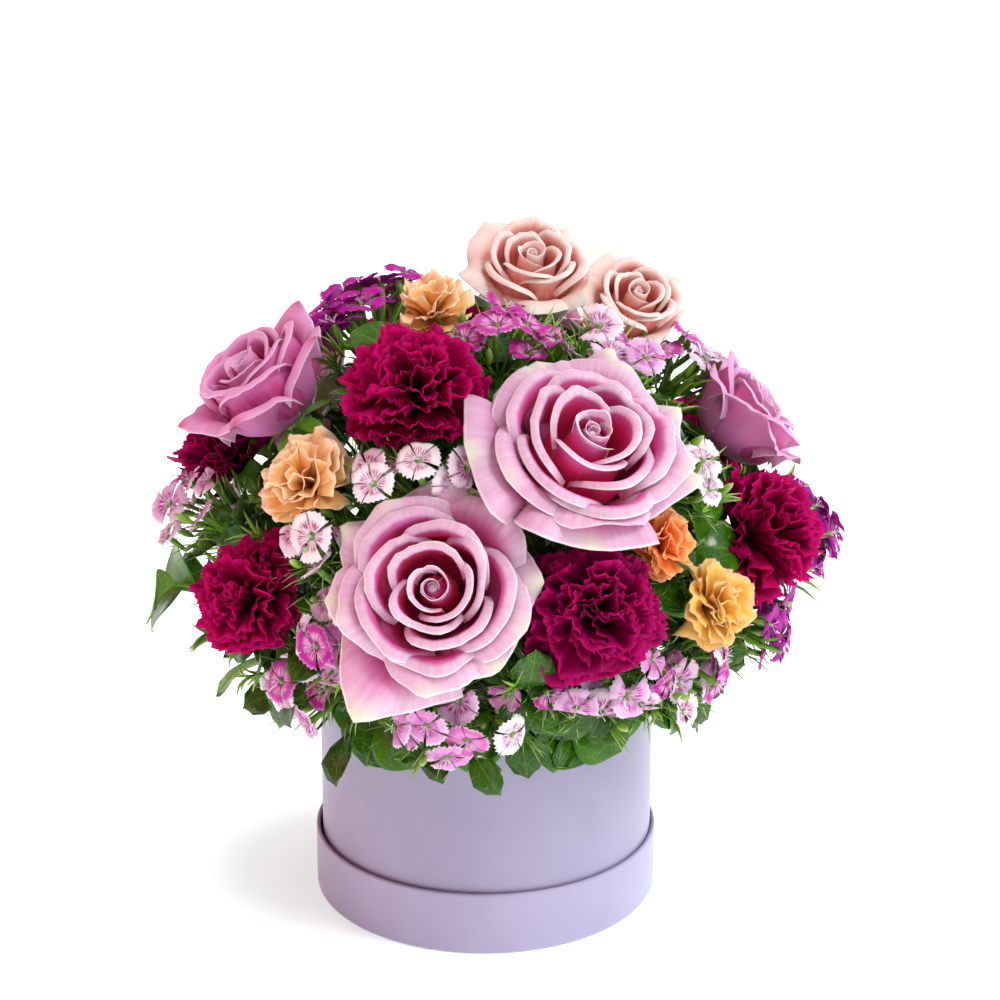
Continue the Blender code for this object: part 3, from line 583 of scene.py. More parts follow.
# Closed solid of revolution. The profile of (radius, height) runs from axis to axis, with solid
# matter on its right, so the outer wall is passed downwards.
def turned(profile, sides, shift):
    inner = np.array(profile[1:-1])
    angle = 2 * math.pi * np.arange(sides) / sides
    x = shift + inner[:, :1] * np.cos(angle)
    y = inner[:, :1] * np.sin(angle)
    z = np.repeat(inner[:, 1:], sides, axis=1)
    poles = [(shift, 0.0, profile[0][1]), (shift, 0.0, profile[-1][1])]
    length = np.concatenate(((0.0,), np.cumsum(np.hypot(*np.diff(inner, axis=0).T))))
    return ringPart(np.stack((x, y, z), axis=-1), poles, length / length[-1], 0.5, 0.0, 0)


# Points of an arc round a centre, from the angle start through turn, in degrees
def corner(centre, radius, start, turn, steps):
    angles = np.radians(start + turn * np.arange(steps + 1) / steps)
    return [(centre[0] + radius * math.cos(a), centre[1] + radius * math.sin(a)) for a in angles]


# Section of a cup: inner floor, inner wall, rolled rim, outer wall, foot
def cupSection(outer, low, high, foot):
    roll, fillet = board["roll"], board["fillet"]
    inside = outer - board["wall"]
    lift = low + board["wall"]
    section = [(0.0, lift), (0.3 * inside, lift), (0.8 * inside, lift)]
    section += corner((inside - fillet, lift + fillet), fillet, -90, 90, 3)
    section += [(inside, z) for z in np.linspace(lift + 0.004, high - roll - 0.001, 5)]
    section += corner((outer - roll, high - roll), roll, 180, -180, 8)
    section += [(outer, z) for z in np.linspace(high - roll - 0.001, low + foot + 0.001, 12)]
    section += corner((outer - foot, low + foot), foot, 0, -90, 5)
    section += [(0.9 * outer, low), (0.5 * outer, low), (0.0, low)]
    return section


# Wrapped paper: lilac, satin, with a fine felt grain and faint cloudiness in its coating. The codes are
# its two shades and its fibres. The lid has the same paper made lighter, as painted light for how the lid
# is lit.
def wrapPaper(name, codes):
    shade, cloudy, hair = (paint(code) for code in codes)
    material, tree, shader = newMaterial(
        name, Specular_IOR_Level=0.42, Coat_Weight=0.10, Coat_Roughness=0.30)
    place = objectPlace(tree)
    cloud = noise(tree, place, 14.0, 4.0)
    grain = noise(tree, place, 2600.0, 3.0)
    fibre = noise(tree, place, 700.0, 5.0, 0.7)
    colour = blend(tree, easeStep(tree, cloud, 0.35, 0.68), shade, cloudy)
    colour = wash(tree, colour, fibre, 0.12, hair)
    dress(tree, shader, colour, (calc(tree, "ADD", grain, fibre), 0.12, 0.0002), (cloud, 0.14, 0.34))
    return material


def makeCup(node, paper, low, high, foot, shift=0.0):
    section = cupSection(0.5 * (high.x - low.x), low.z, high.z, foot)
    cup = turned(section, board["sides"], shift)
    return makePiece(node + "_wrapped", [cup], [paper], [node])


boxPaper = wrapPaper("box_paper", ("#958eaa", "#9d96b2", "#857aa0"))
# The lid's lighter copy of the paper is painted light, not a different sheet
litLidPaper = wrapPaper("lid_paper_painted_light", ("#9e97b4", "#a69fbc", "#8d84aa"))
lid = makeCup("lid", litLidPaper, lidLow, lidHigh, board["lidFoot"])
box = makeCup("box", boxPaper, boxLow, boxHigh, board["boxFoot"], 0.5 * (boxHigh.x + boxLow.x))
backdropLight.light_linking.blocker_collection = newCollection("backdrop_shade", lid, box)

# The liner and the foam keep their shapes
liner, tree, shader = newMaterial("liner_film")
crease = noise(tree, objectPlace(tree), 90.0, 2.0)
dress(tree, shader, paint("#dfe4e4"), (crease, 0.2, 0.0006), (crease, 0.5, 0.0))
wet, tree, shader = newMaterial("wet_foam", Roughness=0.9)
pores = addNode(tree, "TexVoronoi", {"Vector": objectPlace(tree), "Scale": 900.0}).outputs["Distance"]
colour = blend(tree, easeStep(tree, pores, 0.1, 0.6), paint("#12240f"), paint("#35582a"))
dress(tree, shader, colour, (pores, 0.8, 0.0006))
for node, material in (("liner", liner), ("foam", wet)):
    slots = frame["nodes"][node].material_slots
    for index in range(len(slots)):
        slots[index].link = "OBJECT"
        slots[index].material = material
stage("box and lid")

# Greens

# Leaf blade: deep green with a paler net of veins, darker between them, waxy on top
glossy, tree, shader = newMaterial(
    "glossy_leaf", Specular_IOR_Level=0.04, Coat_Weight=0.45, Coat_Roughness=0.16,
    Subsurface_Weight=0.05, Subsurface_Scale=0.002, Subsurface_Radius=(0.6, 1.0, 0.3),
)
own = useGroup(tree, readerGroup)
place = ownPlace(tree, own, 5.0, 8.0, 23.0)
warp = addNode(tree, "TexNoise", {"Vector": place, "Scale": 1.0, "Detail": 1.0}).outputs["Color"]
place = addNode(tree, "VectorMath", {0: place, 1: warp}, operation="ADD").outputs[0]
net, fine = (cellEdges(tree, place, scale) for scale in (1.0, 3.4))
veins = times(tree, fallStep(tree, net, 0.012, 0.06), 0.75)
veins = calc(tree, "MAXIMUM", veins, fallStep(tree, own["edge"], 0.015, 0.06))
veins = calc(tree, "MAXIMUM", veins, times(tree, fallStep(tree, fine, 0.02, 0.09), 0.14))
blotch = blotches(tree, 60.0)
green = blend(tree, own["tint"], paint("#113800"), paint("#468002"))
green = wash(tree, green, blotch, 0.45, paint("#0a2202"))
green = wash(tree, green, veins, 0.26, paint("#7fa83a"))
under = wash(tree, paint("#6f9440"), veins, 0.5, paint("#b3c878"))
green = blend(tree, own["side"], under, green)
dress(tree, shader, green, (times(tree, veins, -1.0), 0.5, 0.0006), (blotch, 0.16, 0.42))

# Stems, calyxes and the narrow bracts of the dianthus, which pale towards their tips
sprig, tree, shader = newMaterial("sprig_green", Subsurface_Weight=0.08, Subsurface_Scale=0.002)
own = useGroup(tree, readerGroup)
green = blend(tree, own["tint"], paint("#2c6a10"), paint("#96cc38"))
tip = times(tree, easeStep(tree, own["along"], 0.45, 1.0), own["layer"])
green = wash(tree, green, tip, 0.7, paint("#bfd58a"))
ribs = veinsOf(tree, own, 9.0)
green = wash(tree, green, ribs, 0.25, paint("#2a6010"))
dress(tree, shader, green, (ribs, 0.3, 0.0002), (ribs, 0.2, 0.38))

leafForm = dict(width=0.48, arch=0.085, grid=(17, 13), thick=0.0005, stemRadius=0.0014)


# Broad leaf with a round end, widest past its middle: width ~ sin(pi u ^ 1.6) ^ 0.5. It arches over,
# dips along its midrib and waves a little at its edges.
def leafBlade(start, along, normal, length, rng, cell=None, grid=leafForm["grid"], tint=None,
              width=leafForm["width"]):
    u = 0.5 - 0.5 * np.cos(math.pi * np.linspace(0.06, 0.985, grid[0]))[:, None]
    v = np.linspace(-1, 1, grid[1])[None, :]
    across = np.cross(normal, along)
    half = width * length * np.sin(math.pi * u**1.6) ** 0.5
    arch = leafForm["arch"] * length * (4 * u * (1 - u) - 0.6 * u**2) + 0.16 * half * np.abs(v) ** 1.4
    arch = arch + 0.03 * length * np.sin(7.0 * u + 4.0 * rng.random()) * np.abs(v) ** 2 * np.sign(v)
    reach = u * (1 - 0.05 * v**2)
    points = start + length * reach[..., None] * along
    points = points + (half * v)[..., None] * across + arch[..., None] * normal
    if cell is not None:
        points = pressed(points, cell, -0.010, 0.9)
    return sheet(points, leafForm["thick"], rng.uniform(0.1, 0.9) if tint is None else tint)


# Needle: a flat tapered blade that bends from its first direction towards the second
def needle(start, first, second, length, width, tint):
    u = np.linspace(0, 1, 5)[:, None]
    path = start + length * (u * first + 0.5 * u**2 * (second - first))
    radii = 0.5 * width * np.array((0.7, 1.0, 0.85, 0.5, 0.04))
    return tube(path, radii, 4, tint, layer=1.0, flatten=0.45)


# Unit vectors along a leaf and up from its blade. A turn of 0 points up, a quarter right.
def leafWay(axes, turn, tilt):
    side = math.sin(turn) * axes[:, 0] + math.cos(turn) * axes[:, 1]
    out = axes[:, 2]
    return math.cos(tilt) * side + math.sin(tilt) * out, math.cos(tilt) * out - math.sin(tilt) * side


stemLeafForm = dict(
    rose=dict(count=3, under=0.015, step=0.008, length=0.042, width=0.44, tilt=14),
    carnation=dict(count=2, under=0.031, step=0.008, length=0.040, width=0.36, tilt=28),
    dianthus=dict(count=2, under=0.020, step=0.010, length=0.036, width=0.30, tilt=30),
)


# Leaves of a stem, one below another, each a golden angle on from the last
def stemLeaves(kind, axes, base, cell, rng):
    form = stemLeafForm[kind]
    parts = []
    for index in range(form["count"]):
        along, normal = leafWay(axes, index * goldenAngle, math.radians(form["tilt"]))
        start = stemCentre + (base - form["under"] - index * form["step"]) * axes[:, 2]
        tint = rng.uniform(0.05, 0.6)
        blade = leafBlade(start, along, normal, form["length"], rng, cell, (8, 11), tint, form["width"])
        parts.append(blade)
    return parts


def makeLeaves(name, settings, seed):
    rng = np.random.default_rng(seed)
    axes = headFrame(settings["place"])
    out = axes[:, 2]
    tip = settings["place"][2] - 0.010
    parts = [stalk(out, np.linspace(stemInnerEnd, tip + 0.004, 5), leafForm["stemRadius"], 8, 0.2)]
    for index, turn in enumerate(settings["turns"]):
        along, normal = leafWay(axes, math.radians(turn), math.radians(settings["tilt"]))
        start = stemCentre + (tip - 0.002 - 0.005 * index) * out
        parts.append(leafBlade(start, along, normal, settings["length"], rng))
    return makePiece(name + "_blades", parts, [glossy, sprig], [name])


shinyLeaves = newCollection(
    "shiny_leaves", *(makeLeaves(name, leaves[name], 100 + seed) for seed, name in enumerate(leaves)))
leafGlint.light_linking.receiver_collection = shinyLeaves


# Share of its own room that the nearest bloom leaves free in a direction: under 1 is on the bloom
def clearOfBlooms(way):
    nearest = 9.0
    for settings in blooms:
        angle = angleBetween(direction(*settings["place"][:2]), way)
        nearest = min(nearest, angle * settings["place"][2] / settings["radius"])
    return nearest


# How far out the blooms stand in a direction: their reaches, weighted by closeness
def bloomReach(way):
    total = 0.0
    reach = 0.0
    for settings in (*blooms, *dianthus.values()):
        weight = 1.0 / (angleBetween(direction(*settings["place"][:2]), way) + 0.08) ** 3
        total += weight
        reach += weight * settings["place"][2]
    return reach / total


# Evenly spread directions over the ball down to a lowest height: z falls in equal steps while the
# azimuth turns by the golden angle
def spreadWays(count, lowest, phase):
    for index in range(count):
        z = 1.0 - (1.0 - lowest) * (index + 0.5) / count
        turn = index * goldenAngle + phase
        flat = math.sqrt(1 - z * z)
        yield np.array((flat * math.cos(turn), flat * math.sin(turn), z))


# Dark leaves low between the stems, so that no foam shows, others higher up where no bloom covers
# them, and two rows that hang over the rim all round. depth is how far they stand in from the
# blooms, or in the low layer and at the rim the reach itself, and floor the lowest that they start.
filler = dict(
    seed=7,
    low=dict(spread=(230, -0.20, 0.0), depth=(0.088, 0.116), tilt=(0.35, 1.15), floor=0.128,
             length=(0.026, 0.036), tint=(0.0, 0.3), width=0.30, grid=(6, 7), root=0.050, stem=0.0007),
    high=dict(spread=(300, 0.06, 2.0), depth=(0.028, 0.050), tilt=(0.2, 0.8), floor=0.132, free=0.6,
              length=(0.024, 0.032), tint=(0.0, 0.35), width=0.36, grid=(6, 7), root=0.060, stem=0.0007),
    rim=dict(count=13, depth=(0.098, 0.104), tilt=(14, 34), row=(4, 9, 0.010), sway=50,
             length=(0.033, 0.038), tint=(0.1, 0.8), width=0.48, grid=(15, 11), root=0.060, stem=0.0008),
    tufts=dict(spread=(260, -0.16, 1.0), floor=0.134, free=0.78, needles=13, root=0.060),
)


# Direction at right angles to way, drawn at random
def anySide(way, rng):
    return unit(np.cross(way, rng.normal(size=3)))


def leafOnStem(way, reach, start, along, normal, form, rng):
    length = rng.uniform(*form["length"])
    tint = rng.uniform(*form["tint"])
    blade = leafBlade(start, along, normal, length, rng, None, form["grid"], tint, form["width"])
    return [blade, stalk(way, np.linspace(form["root"], reach + 0.003, 4), form["stem"], 5, 0.2)]


def makeUndergrowth():
    rng = np.random.default_rng(filler["seed"])
    parts = []
    for form in (filler["low"], filler["high"]):
        high = "free" in form
        for way in spreadWays(*form["spread"]):
            if high and clearOfBlooms(way) < form["free"]:
                continue
            reach = bloomReach(way) - rng.uniform(*form["depth"]) if high else rng.uniform(*form["depth"])
            side = anySide(way, rng)
            tilt = rng.uniform(*form["tilt"])
            along = math.cos(tilt) * side + math.sin(tilt) * way
            normal = math.cos(tilt) * way - math.sin(tilt) * side
            start = stemCentre + reach * way
            if start[2] < form["floor"]:
                if high:
                    continue
                start = start + (0.0, 0.0, form["floor"] - start[2])
            parts += leafOnStem(way, reach, start, along, normal, form, rng)
    form = filler["rim"]
    lowest, rise, further = form["row"]
    for index in range(2 * form["count"]):
        row = index % 2
        azimuth = 360 * (index + rng.uniform(-0.3, 0.3)) / (2 * form["count"])
        axes = headFrame((azimuth, lowest + rise * row))
        turn = math.radians(180 + rng.uniform(-form["sway"], form["sway"]))
        along, normal = leafWay(axes, turn, math.radians(rng.uniform(*form["tilt"])))
        reach = rng.uniform(*form["depth"]) + further * row
        start = stemCentre + reach * axes[:, 2]
        parts += leafOnStem(axes[:, 2], reach, start, along, normal, form, rng)
    return parts


# Tufts of bright needles that reach up between the blooms
def makeTufts():
    form = filler["tufts"]
    rng = np.random.default_rng(filler["seed"] + 1)
    parts = []
    for way in spreadWays(*form["spread"]):
        free = clearOfBlooms(way)
        if free < form["free"]:
            continue
        reach = bloomReach(way) - (rng.uniform(0.030, 0.042) if free < 1.1 else rng.uniform(0.022, 0.034))
        base = stemCentre + reach * way
        if base[2] < form["floor"]:
            continue
        tint = rng.uniform(0.25, 1.0)
        heights = np.linspace(form["root"], reach + 0.002, 4)
        parts.append(stalk(way, heights, np.linspace(0.0009, 0.0007, 4), 5, 0.3))
        for _ in range(form["needles"]):
            side = anySide(way, rng)
            first = way + 0.55 * rng.random() * side
            second = way * rng.uniform(-0.1, 1.0) + rng.uniform(0.8, 1.6) * side
            start = base - rng.uniform(0.0, 0.012) * way
            length = rng.uniform(0.011, 0.019)
            parts.append(needle(start, first, second, length, rng.uniform(0.0016, 0.0028), tint))
    return parts


shinyLeaves.objects.link(makePiece("undergrowth", makeUndergrowth(), [glossy, sprig], ()))
makePiece("needle_tufts", makeTufts(), [glossy, sprig], ())
stage("greens")

# Roses

# Petal forms from the bud's heart (0) to the outermost ring (1). rim and root are shares of the
# bloom's radius and top a share of its height. A petal's section leaves the hip at rootAngle over
# the flat, stands at wallAngle and from lipStart of its length rolls over to lipAngle. halfTurn is
# half of what it wraps of the bloom, lean how far one of its edges lies outside the other, and fall
# how much shorter it is at its edges, which it gets as |v| ^ bow.
roseForm = dict(
    at=(0.00, 0.12, 0.26, 0.38, 0.54, 0.70, 0.86, 1.00),
    rim=(0.02, 0.12, 0.25, 0.39, 0.55, 0.72, 0.89, 1.06),
    top=(0.92, 0.99, 1.02, 0.99, 0.95, 0.89, 0.80, 0.66),
    root=(0.02, 0.05, 0.08, 0.10, 0.12, 0.14, 0.14, 0.12),
    low=(0.25, 0.20, 0.15, 0.12, 0.09, 0.06, 0.03, 0.01),
    rootAngle=(86, 74, 60, 48, 36, 24, 12, 4),
    wallAngle=(93, 96, 95, 91, 88, 82, 66, 42),
    lipAngle=(95, 80, 20, -15, -35, -40, -34, -30),
    lipStart=(0.90, 0.88, 0.91, 0.90, 0.87, 0.83, 0.76, 0.70),
    halfTurn=(170, 130, 98, 80, 68, 60, 53, 46),
    lean=(0.50, 0.30, 0.18, 0.13, 0.10, 0.07, 0.05, 0.02),
    fall=(0.05, 0.12, 0.22, 0.30, 0.34, 0.34, 0.30, 0.34),
    bow=(2.0, 2.4, 3.2, 3.4, 3.4, 3.0, 2.0, 1.1),
    wave=(0.00, 0.01, 0.014, 0.018, 0.022, 0.026, 0.03, 0.03),
)

# height is a share of a rose's radius, and seat the share of that height under its widest petals. A
# section has so many steps, its wall begins at wallStart and its lip ends at lipEnd, and its rows
# crowd towards the tip. Roses over bigRadius have the big set of petals in their rings, and given
# petals from the depth outer on may leave the bloom's cell by outerGap.
roseShape = dict(height=0.92, seat=0.62, steps=120, wallStart=0.34, lipEnd=0.985, crowding=1.55,
                 bigRadius=0.05, big=(5, 3, 4, 4, 5, 5), small=(5, 2, 4, 3, 0, 5), rows=15, columns=19,
                 thick=0.00045, outer=0.93, outerGap=-0.018, gap=-0.002, free=0.92)

# How wide each kind opens: 1 lays its outer petals back, 0 holds them up as a cup
roseOpen = dict(pink=1.0, blush=0.75, lavender=0.25)

# How far these roses stand beside their place
bloomShift = dict(rose_blush_left=(0.001, -0.006, -0.0085), rose_blush_right=(-0.003, -0.006, -0.006),
                  rose_front_low=(0.0, 0.0022, 0.0))

# The outer petals of the two roses in front: direction, half of what each wraps, how square its end
# is, from pointed at 0 to straight between two corners at 1, and how far it reaches
outerPetals = dict(
    rose_front_low=((8, 44, 0.3, 0.90), (88, 44, 0.3, 0.99), (150, 34, 0.0, 1.02), (188, 34, 0.3, 0.95),
                    (242, 44, 0.0, 1.16), (312, 42, 0.4, 0.87)),
    rose_front_high=((14, 40, 0.2, 1.0), (57, 32, 0.0, 0.98), (98, 44, 0.6, 0.90), (172, 40, 1.0, 1.06),
                     (254, 46, 0.9, 0.98), (330, 40, 0.1, 0.94)),
)


# Depth of each petal in the bloom, and its direction: the golden angle from the heart out, and even
# fifths for the two outer rings
def rosePlan(name, counts, phase, rng):
    spans = ((0.0, 0.24), (0.35, 0.41), (0.51, 0.61), (0.69, 0.76), (0.85, 0.90), (0.97, 1.0))
    plan = []
    index = 0
    for ring, (count, (first, last)) in enumerate(zip(counts, spans)):
        if ring == 5 and name in outerPetals:
            for order, (turn, half, square, size) in enumerate(outerPetals[name]):
                depth = first + 0.006 * (order * 2 % 5)
                plan.append((depth, math.radians(turn), math.radians(half), square, size))
            continue
        for step in range(count):
            depth = first + (last - first) * (step + 0.5) / count
            if ring < 4:
                turn = index * goldenAngle
            else:
                order = step * 2 % 5
                turn = phase + 2 * math.pi * (order + (0.5 if ring == 4 else 0.0)) / 5
                turn += rng.normal() * 0.07
            plan.append((depth, turn, None, 0.2 if ring == 5 else 0.0, 1.0))
            index += 1
    return plan


# The section is the running sum of steps in its direction, brought to its rim and top. Each line of
# the petal from root to tip is that section drawn shorter towards the petal's edges.
def rosePetal(depth, turn, half, square, size, openness, radius, rng):
    form = {key: np.interp(depth, roseForm["at"], values) for key, values in roseForm.items()}
    closed = (1 - openness) * max(depth - 0.3, 0.0) / 0.7
    form["wallAngle"] += 34 * closed
    form["top"] += 0.20 * closed
    form["rim"] *= size * (1 - 0.07 * closed)
    form["rootAngle"] += 14 * closed
    height = roseShape["height"] * radius
    steps = roseShape["steps"]
    v = np.linspace(-1, 1, roseShape["columns"])[None, :]
    s = np.linspace(0, 1, steps + 1)
    knots = (form["rootAngle"], form["wallAngle"], form["wallAngle"], form["lipAngle"])
    bends = (0.0, roseShape["wallStart"], form["lipStart"], roseShape["lipEnd"])
    bearing = np.radians(np.interp(s, bends, knots))
    z = np.concatenate(((0.0,), np.cumsum(np.sin(bearing[1:])))) / steps
    r = np.concatenate(((0.0,), np.cumsum(np.cos(bearing[1:])))) / steps
    low = form["low"] * height
    scale = (form["top"] * rng.uniform(0.96, 1.04) * height - low) / z.max()
    z, r = z * scale, r * scale
    root = form["root"] * radius
    rim = form["rim"] * radius * rng.uniform(0.95, 1.04)
    r = r + (1 - np.maximum(1 - s / 0.5, 0.0) ** 2) * (rim - root - r[-1])
    at = 1 - (1 - np.linspace(0, 1, roseShape["rows"])) ** roseShape["crowding"]
    pathR = np.interp(at, s, r)[:, None]
    pathZ = np.interp(at, s, z)[:, None]
    u = at[:, None]
    ripple = sum(
        rng.normal() * np.sin(k * math.pi * v + anyPhase(rng)) / k**0.9 for k in (1, 2, 3, 5, 8))
    halfTurn = math.radians(form["halfTurn"]) * rng.uniform(0.93, 1.05) if half is None else half
    pointed = 1 - form["fall"] * np.abs(v) ** form["bow"]
    corners = 0.93 / np.cos(0.78 * halfTurn * v)
    corners = corners * (1 - 0.30 * np.clip((np.abs(v) - 0.74) / 0.26, 0, 1) ** 1.4)
    reach = (1 - square) * pointed + square * corners + 0.012 * ripple * (1 - np.abs(v) ** 4)
    reach = reach + 0.09 * max(depth - 0.7, 0.0) / 0.3 * (1 - square) * np.exp(-((v / 0.15) ** 2)) * u**6
    out = root + pathR * reach
    lift = low + pathZ * reach
    wave = form["wave"] * radius * u**5
    lift = lift + 0.8 * wave * ripple
    out = out + wave * ripple * 0.5
    edge = np.maximum(np.abs(v) - 0.62, 0.0) / 0.38
    out = out * (1 + form["lean"] * v * (1 - 0.3 * u))
    out = out + 0.03 * radius * min(1.6 * depth, 1.0) * edge**2 * u
    lift = lift - 0.15 * radius * depth**4 * edge**2 * u**2
    angle = turn + np.minimum(0.55 + 1.4 * u, 1.0) * halfTurn * v
    return np.stack((out * np.cos(angle), out * np.sin(angle), lift), axis=-1), at


# The closed heart between the innermost petals, as shares of a rose's height and radius
roseHeart = dict(rise=(0.10, 0.30, 0.55, 0.74, 0.84, 0.87), radii=(0.10, 0.16, 0.17, 0.13, 0.07, 0.02))

# Under a rose: points down its stem from its base, points of its hip, their radii with one between
# them, and its sepals, whose reach is a share of its radius
roseHip = dict(stem=(0.040, 0.030), hip=(-0.014, -0.010, -0.006, -0.002, 0.001), sepals=5, half=0.0042,
               radii=(0.0027, 0.0027, 0.0027, 0.0027, 0.0028, 0.0045, 0.0060, 0.0062, 0.0045),
               reach=0.46, thick=0.0005)


def makeRose(name, settings, materials, seed):
    rng = np.random.default_rng(seed)
    radius = settings["radius"]
    stemWay = direction(*settings["place"][:2])
    axes = headFrame(settings.get("face", settings["place"]))
    up = axes[:, 2]
    cell = cellWalls(name)
    seat = roseShape["seat"] * roseShape["height"] * radius
    base = settings["place"][2] - seat
    origin = stemCentre + settings["place"][2] * stemWay - seat * up
    origin = origin + bloomShift.get(name, (0.0, 0.0, 0.0))
    counts = roseShape["big" if radius > roseShape["bigRadius"] else "small"]
    parts = []
    for petal in rosePlan(name, counts, math.radians(settings["turn"] + 112), rng):
        local, at = rosePetal(*petal, roseOpen[settings["kind"]], radius, rng)
        depth = petal[0]
        outer = name in outerPetals and depth > roseShape["outer"]
        gap = roseShape["outerGap" if outer else "gap"]
        points = pressed(origin + local @ axes.T, cell, gap, roseShape["free"])
        parts.append(sheet(points, roseShape["thick"], rng.random(), depth, 0, at))
    rise = np.array(roseHeart["rise"]) * roseShape["height"] * radius
    radii = np.array(roseHeart["radii"]) * radius
    parts.append(tube(origin + rise[:, None] * up, radii, 12, 0.5, 0.0, 0))
    makePiece(name + "_bloom", parts, materials, [name + "_petals"])

    # Hip, stem and five sepals under the petals
    heights = (stemInnerEnd, *(base - below for below in roseHip["stem"]))
    low = stemCentre + np.array(heights)[:, None] * stemWay
    high = origin + np.array(roseHip["hip"])[:, None] * up
    middle = 0.5 * (low[-1] + high[0]) + 0.1 * (high[0] - high[1])
    parts = [tube(np.vstack((low, middle, high)), roseHip["radii"], 14, 0.35)]
    u = np.linspace(0, 1, 8)[:, None, None]
    v = np.linspace(-1, 1, 5)[None, :, None]
    half = roseHip["half"] * np.sin(math.pi * (0.16 + 0.82 * u)) ** 0.8
    for index in range(roseHip["sepals"]):
        side = inHead(axes, 2 * math.pi * (index + 0.3) / roseHip["sepals"])
        path = 0.004 * side + roseHip["reach"] * radius * (u * side - 0.35 * u**2 * up)
        points = origin - 0.003 * up + path + half * v * np.cross(up, side) + 0.001 * v**2 * up
        parts.append(sheet(pressed(points, cell), roseHip["thick"], rng.uniform(0.3, 0.6), 0.3, 1))
    parts += stemLeaves("rose", headFrame(settings["place"], settings["turn"]), base, cell, rng)
    makePiece(name + "_hip", parts, [glossy, sprig], [name + "_stem"])


# Petal of a rose: root, middle and rim colours run from root to tip. The deep root colours are painted
# shade of the cup: they reach up only where the petal stands in the cup, and on the outer ring they are
# partly its own blush. The rim is the petal's pale edge brightened as a painted highlight. Veins fan out
# faintly, tips of the outer ring turn cream or red.
def roseMaterial(name, colours):
    material, tree, shader = newMaterial(
        name, Specular_IOR_Level=0.25, Sheen_Weight=0.05, Sheen_Roughness=0.4,
        Subsurface_Weight=0.30, Subsurface_Scale=0.005, Subsurface_Radius=(1.0, 0.45, 0.5),
    )
    own = useGroup(tree, readerGroup)
    along, layer = own["along"], own["layer"]
    rootHueAndShade, outerRootBlushAndShade, middle, pale, rim, tip = (paint(code) for code in colours)
    outer = easeStep(tree, layer, 0.74, 0.94)
    # Painted shade of the cup at the petal roots: deep crimson on the inner petals, and on the outer ring
    # partly their own blush and partly painted shade
    low = blend(tree, outer, rootHueAndShade, outerRootBlushAndShade)
    start = linear(tree, outer, -0.56, 0.68)
    full = linear(tree, outer, -0.36, 0.90)
    inside = blend(tree, easeStep(tree, along, start, full), low, middle)
    # The backs keep the painted shade a little higher up, where they show in the gaps between petals
    behind = blend(tree, easeStep(tree, along, calc(tree, "SUBTRACT", start, 0.06), full), low, middle)
    colour = blend(tree, own["side"], behind, inside)
    paler = easeStep(tree, along, linear(tree, outer, -0.24, 0.86), linear(tree, outer, 0.02, 0.92))
    colour = wash(tree, colour, paler, 0.9, pale)
    blush = times(tree, blotches(tree, 34.0), easeStep(tree, layer, 0.4, 1.0))
    colour = wash(tree, colour, blush, 0.38, middle)
    veins = veinsOf(tree, own, 26.0)
    colour = wash(tree, colour, veins, linear(tree, paler, -0.16, 0.40), middle)
    # Pale petal edges, brightened as a painted highlight along the tip and the sides
    sides = easeStep(tree, own["edge"], 0.93, 1.0)
    paleEdgeAndHighlight = calc(tree, "MAXIMUM", easeStep(tree, along, 0.972, 0.998), sides)
    colour = wash(tree, colour, paleEdgeAndHighlight, 0.8, rim)
    point = times(tree, fallStep(tree, own["edge"], 0.0, 0.26), easeStep(tree, along, 0.84, 1.0))
    point = times(tree, point, easeStep(tree, layer, 0.74, 0.95))
    colour = wash(tree, colour, point, 0.75, tip)
    dress(tree, shader, colour, (veins, 0.25, 0.0004), (veins, 0.14, 0.44))
    return material


# Colours of each kind: painted shade of the cup at the inner roots, blush and painted shade at the outer
# roots, middle, pale lip, pale edge with its painted highlight, tip
rosePaints = dict(
    pink=("#f42a74", "#c02886", "#d362a4", "#efcde1", "#fdf4f6", "#eef2c4"),
    lavender=("#c02878", "#c8549c", "#de80bc", "#eaacd4", "#f0c8e4", "#c81868"),
    blush=("#ee7c6e", "#f3ae9e", "#f8c8ba", "#fdeae0", "#fffaf6", "#f9f0de"),
)
rosePaper = {kind: roseMaterial("rose_" + kind, colours) for kind, colours in rosePaints.items()}
for seed, (name, settings) in enumerate(roses.items()):
    makeRose(name, settings, [rosePaper[settings["kind"]], sprig], 200 + seed)
stage("roses")

# Carnations

carnationForm = dict(petals=40, rows=8, columns=25, width=0.42, ruffle=0.085, crimp=0.032, thick=0.00035,
                     folds=(2.2, 3.6), teeth=15, bite=0.055, tube=0.030, calyx=0.0062)
sprayForm = dict(petals=22, rows=8, columns=21, width=0.50, ruffle=0.10, crimp=0.030, thick=0.00035,
                 folds=(1.2, 2.2), teeth=7, bite=0.020, tube=0.022, calyx=0.0045)

# Share of its radius that a carnation's base is under its widest petals
headSeat = 0.34

# Carnations past this azimuth are behind, and their petals have fewer columns
behind = dict(azimuth=100, columns=19)


